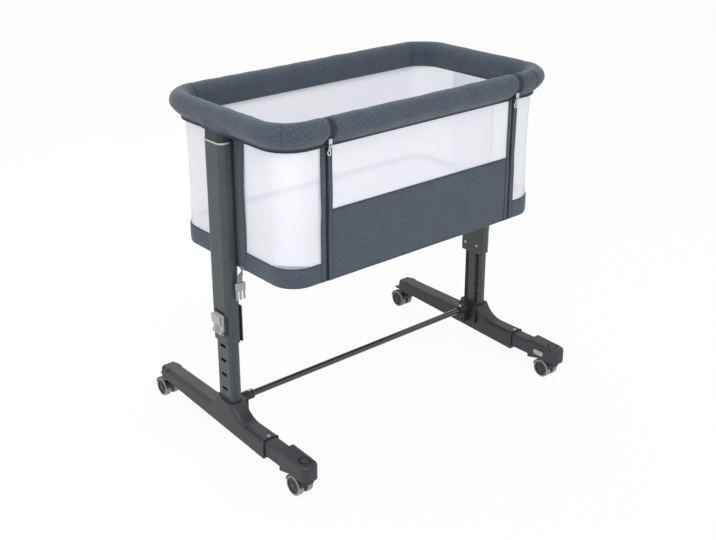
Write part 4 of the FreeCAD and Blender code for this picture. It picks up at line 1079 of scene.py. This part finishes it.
class CRIB_OT_drop_side(CribOperator):
    """Side that folds down: padded rail, net window and linen panel"""
    bl_idname = "crib.drop_side"
    bl_label = "Drop side"

    def make(self, cloth, padding, stage):
        half = ZIP_X - ZIP_GAP / 2 - RAIL_GAP
        xs = np.linspace(-half, half, 104)
        flat = np.zeros(len(xs))
        run = (np.column_stack([xs, flat - RIM_HALF_Y]), np.column_stack([flat, flat - 1]),
               flat, xs + half)
        padded_rail(("drop_rail_cover", "drop_rail_pad", "drop_hem_piping"), "drop_side", run,
                    padding, (), 8.4)
        y = -PANEL_FRONT
        window_x = np.linspace(-PANEL_HALF, PANEL_HALF, 61)
        window_z = np.linspace(PANEL_TOP - 4, HEM_Z + 1, 15)
        share = (window_z - window_z[0]) / (window_z[-1] - window_z[0])
        rows = [[[x, y + 1.0 + 1.6 * math.sin(math.pi * s) * math.cos(
            math.pi * x / 2 / PANEL_HALF), z] for z, s in zip(window_z, share)]
            for x in window_x]
        window = grid_piece("drop_window", rows, window_z - window_z[0],
                            window_x + PANEL_HALF)
        dress(window, "drop_side", "net_cloth", ["drop_mesh"])

        # The panel's lower edge is tucked in: its two lowest rows lie further back.
        zs = np.array([BODY_LOW - 0.2, BODY_LOW + 1.2, *np.linspace(470, PANEL_TOP, 40)])
        tuck = [0.9, 0.2] + [0.0] * 40
        rows = [[[x, y + 0.1 + t - 0.5 * noise.noise(Vector((x, z, 7)) / 55)
                  - 0.35 * noise.noise(Vector((x, z * 0.6, 3)) / 24), z]
                 for t, z in zip(tuck, zs)] for x in window_x]
        panel = thicken(grid_piece("drop_panel_cloth", rows, zs - zs[0],
                                   window_x + PANEL_HALF), 0.8)
        dress(panel, "drop_side", "slate_linen", ["drop_panel"])
        piping("drop_panel_piping", "drop_side",
               [[[x, y - 0.2, PANEL_TOP] for x in window_x]], 0.9, sides=6)
        row, ups = hem_stitching(run)
        lines = [[[x, y - 0.65, level] for x in window_x]
                 for level in (PANEL_TOP - 4.5, BODY_LOW + 4.0)]
        stitches("drop_side_stitches", "drop_side", [row, *lines],
                 [ups, *[[[0, -1, 0]] * len(window_x)] * 2], cloth)
        for side, sign in SIDES.items():
            flap(f"window_strip_{side}", "drop_side", sign * (PANEL_HALF - 7.5),
                 sign * (PANEL_HALF + 2.6), y - 0.7, 0.8 * sign)


def flap(name, body, inner, outer, y, bow):
    """Upright linen strip beside a zip, with its edges folded over dark piping."""
    zs = np.linspace(BODY_LOW + 0.5, HEM_Z + 3, 48)
    share = (zs - zs[0]) / (zs[-1] - zs[0])
    waist = np.exp(-((zs - PANEL_TOP) / 26) ** 2)
    bend = bow * (np.sin(math.pi * share * 2) + 0.5 * np.sin(math.pi * share * 5 + 1))
    across = np.linspace(0, 1, 7)
    rows = []
    for z, shift, draw in zip(zs, bend, waist):
        low, high = inner + shift, outer + 0.5 * shift - 1.6 * draw * np.sign(outer)
        rows.append(np.column_stack([low + (high - low) * across,
                                     y - 0.55 * np.sin(math.pi * across),
                                     np.full(len(across), z)]))
    rows = np.array(rows)
    wide = abs(outer - inner)
    piece = thicken(grid_piece(name, rows, across * wide, zs - zs[0], flip=inner > outer), 0.8)
    dress(piece, body, "slate_linen")
    piping(name + "_piping", body, [rows[:, k] - [0, 0.35, 0] for k in (0, -1)], 0.75, sides=6)


class CRIB_OT_zips(CribOperator):
    """Tapes, coils and flaps of the two zips, and their wraps round the rail"""
    bl_idname = "crib.zips"
    bl_label = "Zips"

    def make(self, cloth, padding, stage):
        y = -PANEL_FRONT
        tooth = bead("tooth", (0.55, 1.7, 0.7), 8, 4)
        for side, sign in SIDES.items():
            middle = sign * ZIP_X
            zs = np.linspace(BODY_LOW + 1, HEM_Z, 44)
            # The right zip gapes a little at the middle of its window.
            gape = 1.5 * np.exp(-((zs - 705) / 45) ** 2) if side == "right" else 0 * zs
            across = np.linspace(-1, 1, 9)
            rows = [[[middle + 6.4 * a + sign * g * 0.3, y + 0.9 - 0.15 * a * a, z]
                     for a in across] for z, g in zip(zs, gape)]
            down = grid_piece("tape", rows, (across + 1) * 6.4, zs - zs[0])
            outline = pad_outline(0.0, 0.0, 2.0)[:-2]
            width = np.linspace(-ZIP_GAP / 2, ZIP_GAP / 2, 9)
            flare = 1 + 0.03 * (np.abs(width) / 6.5) ** 3
            rows = [[[middle + w, -RIM_HALF_Y - out * f, RIM_Z + up * f]
                     for w, f in zip(width, flare)] for out, up in outline]
            run = running(outline)
            wrap = grid_piece("wrap", rows, width + 6.5, run)
            tape = thicken(join(f"zip_tape_{side}", [down, wrap]), 0.7)
            dress(tape, "crib", "zip_tape", ["zip_tapes"] if sign > 0 else ())
            over = outline[1:-5]
            lines = [[[middle + sign * g * 0.15, y - 0.3, z] for z, g in zip(zs, gape)],
                     [[middle, -RIM_HALF_Y - out * 1.03, RIM_Z + up * 1.03]
                      for out, up in over]]
            ups = [[[0, -1, 0]] * len(zs), [[0, -out, up + 1e-3] for out, up in over]]
            repeated(f"zip_coil_{side}", "crib", lines, ups, tooth, cloth.tooth_pitch / MM,
                     "coil_nylon")
            flap(f"zip_flap_{side}", "crib", sign * (ZIP_X + 4.6), sign * (ZIP_X + 16.5),
                 y + 0.4, 1.0 * sign)
            ring = pad_outline(0.0, padding.swell / MM)[:-2]
            ring *= 1 - 0.075 * above_hem(RIM_Z + ring[:, 1:])
            bow = 6.2 + 1.2 * np.sin(math.pi * np.linspace(0, 1, len(ring)))
            for edge, body in ((-1, "drop_side"), (1, "crib")):
                line = np.column_stack([middle + sign * edge * bow, -RIM_HALF_Y - ring[:, 0],
                                        RIM_Z + ring[:, 1]])
                piping(f"rail_end_piping_{body}_{side}", body, [line], 1.2, "painted_shade_piping")
            self.slider(side, middle)

    def slider(self, side, middle):
        """Zip slider with its pull of four linked rings."""
        y = -RIM_HALF_Y - 2.0
        work = blocks((9.0, 4.4, 11.0), centre=(middle, y - 9.0, 792.0))
        bmesh.ops.bevel(work, geom=work.edges[:], offset=1.4 * MM, segments=3,
                        affect="EDGES", profile=0.6)
        parts = [mesh_piece("slider", [v.co / MM for v in work.verts],
                            [[v.index for v in f.verts] for f in work.faces])]
        work.free()
        turns = np.linspace(0, 2 * math.pi, 20, endpoint=False)
        for level, wide, tall, wire, out in SLIDER_RINGS:
            ring = np.column_stack([middle + wide * np.cos(turns), 0 * turns + y - out,
                                    level + tall * np.sin(turns)])
            parts.append(tube_piece("ring", ring, wire, closed=True))
        name = f"zip_slider_{side}"
        dress(join(f"zip_pull_{side}", parts), name, "zinc_plate", [name])


class CRIB_OT_mattress(CribOperator):
    """Foam mattress in its brushed cover, with piping round its edge"""
    bl_idname = "crib.mattress"
    bl_label = "Mattress"

    def make(self, cloth, padding, stage):
        inset = 9.5
        points, outward, _ = along_ring(
            BODY_HALF_X - inset, BODY_HALF_Y - inset, BODY_CORNER - 6, 7.0)
        points, outward = points[:-1], outward[:-1]
        tall = MATTRESS_TOP - MATTRESS_LOW
        levels = [(-40.0, 0.0), (-9.0, 0.0), (-3.5, 1.0), (-1.0, 4.0), (0.0, 10.0),
                  (-0.6, tall * 0.4), (-0.6, tall * 0.6), (0.0, tall - 9.0),
                  (-1.0, tall - 4.0), (-3.5, tall - 1.2), (-9.0, tall), (-15.0, tall + 0.8),
                  (-21.0, tall + 1.4), (-27.0, tall + 1.9), (-33.0, tall + 2.3),
                  (-40.0, tall + 2.6)]
        rows = wall_rows(points, outward, [(p, MATTRESS_LOW + z) for p, z in levels])
        rows = rows.transpose(1, 0, 2)
        ridge = np.column_stack([np.clip(points[:, 0], -205, 205) * 0.97,
                                 np.zeros(len(points))])

        def drawn_in(row, share, z):
            """Row drawn in towards the ridge along the middle, at one height."""
            flat = row[:, :2] + (ridge - row[:, :2]) * share
            return np.column_stack([flat, np.full(len(flat), z)])

        under = [drawn_in(rows[0], share, MATTRESS_LOW) for share in (1.0, 0.5)]
        over = [drawn_in(rows[-1], share, MATTRESS_TOP + 2.6 + (MATTRESS_CROWN - 2.6)
                         * math.sin(math.pi / 2 * share))
                for share in np.linspace(0, 1, 22)[1:]]
        rows = np.concatenate([under, rows, over])
        dents = np.array([[noise.noise(Vector(p) / 85) + 0.4 * noise.noise(Vector(p) / 30)
                           for p in row] for row in rows])
        fade = np.clip((rows[:, :, 2] - MATTRESS_TOP + 4) / 5, 0, 1)
        rows[:, :, 2] += dents * 0.9 * fade
        pad = outward_faces(grid_piece(
            "mattress_pad", rows, np.arange(len(points) + 1) * 7.0,
            np.arange(len(rows)) * 7.0, tube=True), merge=0.4)
        held = [v.index for v in pad.data.vertices if v.co.z < (MATTRESS_LOW + 2) * MM]
        inflate(pad, held, padding.pressure * 0.5, 1.2)
        dress(pad, "crib", "mattress_cloth", ["mattress"])
        edge = np.column_stack([points + outward * -2.6,
                                np.full(len(points), MATTRESS_TOP - 2.0)])
        dress(tube_piece("mattress_piping", edge, 1.6, closed=True, sides=6), "crib",
              "lining_cloth")


class CRIB_OT_bed_strap(CribOperator):
    """Webbing stub that holds the buckle at the left end"""
    bl_idname = "crib.bed_strap"
    bl_label = "Bed strap"

    def make(self, cloth, padding, stage):
        low, high = box_of("bed_strap")
        top, bottom = high[2], low[2]
        middle_y = (low[1] + high[1]) / 2
        route = [(high[0] - 1.4, top), (high[0] - 1.8, top - 6), (-404.0, top - 16),
                 (-406.2, top - 27), (-406.8, bottom + 1.5)]
        xs, zs = (np.interp(np.linspace(0, 4, 25), range(5), values)
                  for values in zip(*route))
        across = np.linspace(-1, 1, 7)
        # The webbing turns flat against the crib towards its sewn upper end.
        rows = []
        for x, z, flat in zip(xs, zs, ease_in(zs, top - 20, top - 4)):
            half_x = 7.2 * (1 - flat) + 0.6 * flat
            half_y = 0.9 * (1 - flat) + 7.2 * flat
            rows.append([[x + half_x * a, middle_y + half_y * a, z] for a in across])
        run = running(np.column_stack([xs, zs]))
        strap = thicken(grid_piece("bed_strap_webbing", rows, (across + 1) * 7.2, run), 1.5)
        dress(strap, "crib", "strap_webbing", ["bed_strap"])


class CRIB_OT_screws(CribOperator):
    """Domed cross-head screws over the frame's plain ones"""
    bl_idname = "crib.screws"
    bl_label = "Screws"

    def make(self, cloth, padding, stage):
        work = bmesh.new()
        turns = [2 * math.pi * t / 20 for t in range(20)]
        rings = [[work.verts.new((radius * MM * math.cos(t), radius * MM * math.sin(t),
                                  high * MM)) for t in turns] for radius, high in SCREW_RINGS]
        for lower, upper in zip(rings, rings[1:]):
            for t in range(20):
                after = (t + 1) % 20
                work.faces.new((lower[t], lower[after], upper[after], upper[t]))
        work.faces.new(rings[0][::-1])
        work.faces.new(rings[-1])
        head = loose("screw_head", work)
        # Black cross in each screw head: painted shade of its cross recess.
        recess = flat_faces(loose("screw_recess", blocks(
            (4.2, 1.1, 1.2), (1.1, 4.2, 1.2), centre=(0.0, 0.0, 1.5))))
        for body, node in (("base", "base_screws"), ("crib", "guide_screws")):
            places = []
            for low, high in islands(NODES[node]):
                middle, size = (low + high) / 2, high - low
                axis = int(np.argmin(size))
                up = np.array([0.0, 0.0, 1.0] if axis else [-np.sign(middle[0]), 0.0, 0.0])
                foot = middle.copy()
                foot[axis] = low[axis] if up[axis] > 0 else high[axis]
                foot += up * (size[axis] - 1.3 if size[axis] > 1.4 else 0.0)
                places.append((foot, up, (1, 0.6, 0) if axis else (0, 1, 0.35)))
            on_points(f"{body}_screws", body, places, head, "zinc_plate", [node])
            # Painted shade: black crosses put where the screw heads' cross recesses hold only
            # shade.
            on_points(f"{body}_screw_recesses", body, places, recess, "painted_shade_black")


def islands(node):
    """Boxes of a node's separate solids, in millimetres."""
    work = bmesh.new()
    work.from_mesh(node.data)
    bmesh.ops.remove_doubles(work, verts=work.verts, dist=1e-6)
    seen, boxes = set(), []
    for vertex in work.verts:
        if vertex in seen:
            continue
        stack, group = [vertex], []
        seen.add(vertex)
        while stack:
            current = stack.pop()
            group.append(np.array(current.co) / MM)
            others = [edge.other_vert(current) for edge in current.link_edges]
            stack += [other for other in others if other not in seen]
            seen.update(others)
        boxes.append((np.min(group, axis=0), np.max(group, axis=0)))
    work.free()
    return boxes


class CRIB_OT_levers(CribOperator):
    """Grip ribs on the release levers and the buttons"""
    bl_idname = "crib.levers"
    bl_label = "Levers"

    def make(self, cloth, padding, stage):
        for side, sign in SIDES.items():
            name = f"release_lever_{side}"
            low, high = box_of(name)
            face = high[0] if sign > 0 else low[0]
            places = [((face - sign * 0.1, 0.0, low[2] + 5.0 + 3.7 * k), (sign, 0, 0),
                       (0, 0, 1)) for k in range(5)]
            on_points(f"lever_ribs_{side}", name, places,
                      bead("rib", (0.9, 13.0, 0.9), 8, 6), "lever_pp")
            self.pad(side, sign, face, high[2])
            self.surround(side, sign, low[2], high[2])
            name = f"extension_button_{side}"
            low, high = box_of(name)
            face = low[0] if sign > 0 else high[0]
            middle = (low + high) / 2
            places = [((face + sign * 0.05, middle[1] + 3.4 * k, middle[2]), (-sign, 0, 0),
                       (0, 1, 0)) for k in (-2, -1, 0, 1, 2)]
            on_points(f"button_ribs_{side}", name, places,
                      bead("rib", (0.5, 4.2, 0.5), 8, 6), "lever_pp")

    def pad(self, side, sign, face, top):
        """Upper half of the lever, tilting outwards towards its top edge."""
        outline = [(-0.4, -24.0), (1.4, -23.0), (3.6, -2.0), (2.6, -0.4), (-0.4, -0.4)]
        shape = np.array([[[face + sign * out, y, top + up] for out, up in outline]
                          for y in (-16.6, -17.6, -17.6, 17.6, 17.6, 16.6)])
        shape[0, :, 0] = shape[-1, :, 0] = np.minimum(
            np.abs(shape[0, :, 0]), abs(face) + 1.0) * sign
        pad = grid_piece(f"lever_pad_{side}", shape, range(6), range(6), tube=True, caps=True)
        dress(outward_faces(flat_faces(pad)), f"release_lever_{side}", "lever_pp")

    def surround(self, side, sign, low, high):
        """Black plate behind the lever and black teeth in the slot beside it: painted shade of
        the recess round the lever and of the slot.
        """
        x = sign * (COLUMN_X + SLEEVE_HALF_X)
        corners = [(-19.8, low - 3.0), (19.8, low - 3.0), (19.8, high + 4.0),
                   (14.0, high + 9.0), (-19.8, high + 7.0)]
        plate = grid_piece(f"lever_recess_{side}", [
            [[x + sign * out, y, z] for y, z in corners] for out in (-0.3, 0.25)],
            range(6), range(2), tube=True, caps=True)
        dress(outward_faces(plate), "crib", "painted_shade_black")
        tooth = loose("slot_tooth", blocks((2.6, 5.4, 1.0)))
        turn = math.radians(28)
        x = sign * (COLUMN_X + SLEEVE_HALF_X - SLEEVE_ROUND * (1 - math.cos(turn)))
        y = -SLEEVE_HALF_Y + SLEEVE_ROUND - SLEEVE_ROUND * math.sin(turn)
        away = (sign * math.cos(turn), -math.sin(turn), 0)
        places = [((x, y, z), away, (0, 0, 1)) for z in np.arange(low + 4, high - 2, 4.4)]
        on_points(f"lever_slot_teeth_{side}", "crib", places, tooth, "painted_shade_black")


class CRIB_OT_column_strips(CribOperator):
    """Two ladders of black cells down the inner face of each column: painted shade of the deep
    ladder slots
    """
    bl_idname = "crib.column_strips"
    bl_label = "Column strips"

    def make(self, cloth, padding, stage):
        cell = loose("ladder_cell", blocks((4.6, 13.0, 0.12)))
        for side, sign in SIDES.items():
            x = sign * (COLUMN_X - COLUMN_HALF_X)
            lines = [[[x, y, LADDER_LOW], [x, y, LADDER_HIGH]] for y in (-LADDER_Y, LADDER_Y)]
            repeated(f"column_strips_{side}", "base", lines, [[[-sign, 0, 0]] * 2] * 2, cell,
                     6.0, "painted_shade_black")


class CRIB_OT_feet(CribOperator):
    """Black lines painted as the shade in the gaps round the foot tubes and in the slots of
    the front caps
    """
    bl_idname = "crib.feet"
    bl_label = "Gap lines of the feet"

    def make(self, cloth, padding, stage):
        for side, sign in SIDES.items():
            low, high = box_of(f"foot_extension_{side}")
            mouth = box_of(f"foot_casing_{side}")[0][1]
            rings = [[[x, mouth + y, z] for x, z in (
                (low[0] - out, low[2] - out), (high[0] + out, low[2] - out),
                (high[0] + out, high[2] + out), (low[0] - out, high[2] + out))]
                for out, y in ((0.12, 0.3), (1.5, 0.3), (1.5, -0.15), (0.12, -0.15))]
            gap = grid_piece(f"casing_mouth_{side}", rings, range(5), range(5), ring=True,
                             tube=True)
            dress(outward_faces(flat_faces(gap)), "base", "painted_shade_black")
            arcs = []
            for start in (100, 280):
                turns = np.radians(np.linspace(start - 62, start + 62, 24))
                line = np.column_stack([sign * COLUMN_X + SLOT_RADIUS * np.cos(turns),
                                        FRONT_STEM_Y + SLOT_RADIUS * np.sin(turns),
                                        0 * turns + SLOT_Z])
                arcs.append(tube_piece("arc", line, 1.25, sides=6))
            dress(join(f"cap_slots_{side}", arcs), f"extension_{side}", "painted_shade_black")


class CRIB_OT_casters(CribOperator):
    """Spokes in the recess of each caster wheel"""
    bl_idname = "crib.casters"
    bl_label = "Casters"

    def make(self, cloth, padding, stage):
        spoke = bead("spoke", (4.6, 1.1, 0.7), 8, 6)
        ways = [(0, math.cos(t), math.sin(t)) for t in np.radians(np.arange(15, 375, 60))]
        for end in ENDS:
            for side in SIDES:
                low, high = box_of(f"wheel_hubs_{end}_{side}")
                y = (low[1] + high[1]) / 2
                places = [((face - out * 1.2, y + 11.2 * way[1], WHEEL_Z + 11.2 * way[2]),
                           (out, 0, 0), way)
                          for face, out in ((low[0], -1), (high[0], 1)) for way in ways]
                on_points(f"wheel_spokes_{end}_{side}", f"wheels_{end}_{side}", places, spoke,
                          "fender_abs")


# ---- stage ----

# Place in millimetres, turns in degrees, focal length and middle in pixels of the picture.
CAMERA_PLACE = (-1639.3, -1908.5, 1448.0)
CAMERA_YAW, CAMERA_PITCH, CAMERA_ROLL = -38.29, -20.6, -0.8
CAMERA_FOCUS = 1071.33
CAMERA_MIDDLE = (321.34, 209.43)
IMAGE = (716, 540)
# Name, place in millimetres, share of the key light's power and size in metres.
LAMPS = (("key", (-1300, -1500, 3000), 1.0, 1.6), ("fill", (1900, -1700, 1900), 0.16, 1.8),
         ("side", (-2500, -1300, 1500), 0.3, 1.6), ("rear", (600, 2200, 2400), 0.6, 1.8))


def looked_at(tree):
    """1 where the camera, a reflection or a clear surface looks, and 0 for soft light."""
    path = add(tree, "ShaderNodeLightPath").outputs
    return maths(tree, "MAXIMUM", path["Is Camera Ray"], maths(
        tree, "MAXIMUM", path["Is Glossy Ray"], path["Is Transmission Ray"]))


class CRIB_OT_stage(CribOperator):
    """Pale floor, soft studio light and the camera"""
    bl_idname = "crib.stage"
    bl_label = "Stage"

    def make(self, cloth, padding, stage):
        self.floor(stage)
        self.light(stage)
        self.camera()

    def floor(self, stage):
        """White studio floor that glows a little, so that it blends into the background."""
        piece = mesh_piece("floor", [(-9000, -9000, 0), (9000, -9000, 0), (9000, 9000, 0),
                                     (-9000, 9000, 0)], [(0, 1, 2, 3)], smooth=False)
        material, tree, shader, _ = finish_of("studio floor")
        set_shader(shader, roughness=0.9, specular_ior_level=0.1, base_color=stage.floor)
        glow = add(tree, "ShaderNodeEmission", {"Color": stage.floor, "Strength": 1.0})
        seen = maths(tree, "MULTIPLY", looked_at(tree), 0.93)
        mixed = add(tree, "ShaderNodeMixShader",
                    {0: seen, 1: shader.outputs[0], 2: glow.outputs[0]})
        output = next(n for n in tree.nodes if n.type == "OUTPUT_MATERIAL")
        tree.links.new(mixed.outputs[0], output.inputs["Surface"])
        piece.data.materials.append(material)

    def light(self, stage):
        """White sky and four soft boxes that look at the crib's middle."""
        world = bpy.data.worlds.new("studio")
        bpy.context.scene.world = world
        world.use_nodes = True
        tree = world.node_tree
        sky = tree.nodes["Background"]
        sky.inputs["Color"].default_value = (1, 1, 1, 1)
        tree.links.new(spread(tree, looked_at(tree), 0, 1, stage.sky, 1.0),
                       sky.inputs["Strength"])
        for name, place, share, size in LAMPS:
            lamp = bpy.data.lights.new(name, "AREA")
            lamp.energy, lamp.size = stage.key_power * share, size
            holder = placed(name, lamp)
            holder.location = Vector(place) * MM
            holder.rotation_euler = (Vector((0, 0, 0.5)) - holder.location).to_track_quat(
                "-Z", "Y").to_euler()

    def camera(self):
        lens = bpy.data.cameras.new("camera")
        holder = placed("camera", lens)
        bpy.context.scene.camera = holder
        wide, high = IMAGE
        lens.sensor_fit, lens.sensor_width = "HORIZONTAL", 36.0
        lens.lens = CAMERA_FOCUS / wide * lens.sensor_width
        lens.shift_x = (wide / 2 - CAMERA_MIDDLE[0]) / wide
        lens.shift_y = (CAMERA_MIDDLE[1] - high / 2) / wide
        lens.clip_start, lens.clip_end = 0.05, 60.0
        yaw, pitch, roll = (math.radians(a) for a in (CAMERA_YAW, CAMERA_PITCH, CAMERA_ROLL))
        look = Vector((math.sin(-yaw) * math.cos(pitch), math.cos(yaw) * math.cos(pitch),
                       math.sin(pitch)))
        turn = look.to_track_quat("-Z", "Y").to_matrix().to_4x4()
        holder.matrix_world = (Matrix.Translation(Vector(CAMERA_PLACE) * MM) @ turn
                               @ Matrix.Rotation(roll, 4, "Z"))


STEPS = (CRIB_OT_hard_parts, CRIB_OT_rim, CRIB_OT_walls, CRIB_OT_band, CRIB_OT_drop_side,
         CRIB_OT_zips, CRIB_OT_mattress, CRIB_OT_bed_strap, CRIB_OT_screws, CRIB_OT_levers,
         CRIB_OT_column_strips, CRIB_OT_feet, CRIB_OT_casters, CRIB_OT_stage)


class CRIB_PT_panel(bpy.types.Panel):
    """Steps of making the crib and their settings"""
    bl_idname = "CRIB_PT_panel"
    bl_label = "Bedside crib"
    bl_space_type = "VIEW_3D"
    bl_region_type = "UI"
    bl_category = "Crib"

    def draw(self, context):
        layout = self.layout
        for group in (context.scene.crib_cloth, context.scene.crib_padding,
                      context.scene.crib_stage):
            box = layout.box()
            for label in group.__annotations__:
                box.prop(group, label)
        for step in STEPS:
            layout.operator(step.bl_idname)


GROUPS = {"crib_cloth": CribCloth, "crib_padding": CribPadding, "crib_stage": CribStage}


def register():
    for kind in (*GROUPS.values(), *STEPS, CRIB_PT_panel):
        bpy.utils.register_class(kind)
    for label, group in GROUPS.items():
        setattr(bpy.types.Scene, label, bpy.props.PointerProperty(type=group))


def unregister():
    for label in GROUPS:
        delattr(bpy.types.Scene, label)
    for kind in (CRIB_PT_panel, *reversed(STEPS), *GROUPS.values()):
        bpy.utils.unregister_class(kind)


def clear_items():
    """Removes the helper objects that the node trees copied."""
    for item in ITEMS:
        mesh = item.data
        bpy.data.objects.remove(item)
        bpy.data.meshes.remove(mesh)
    ITEMS.clear()


def main():
    register()
    bpy.context.scene.view_settings.view_transform = "Standard"
    for step in STEPS:
        group, call = step.bl_idname.split(".")
        getattr(getattr(bpy.ops, group), call)()
    clear_items()


if __name__ == "__main__":
    main()
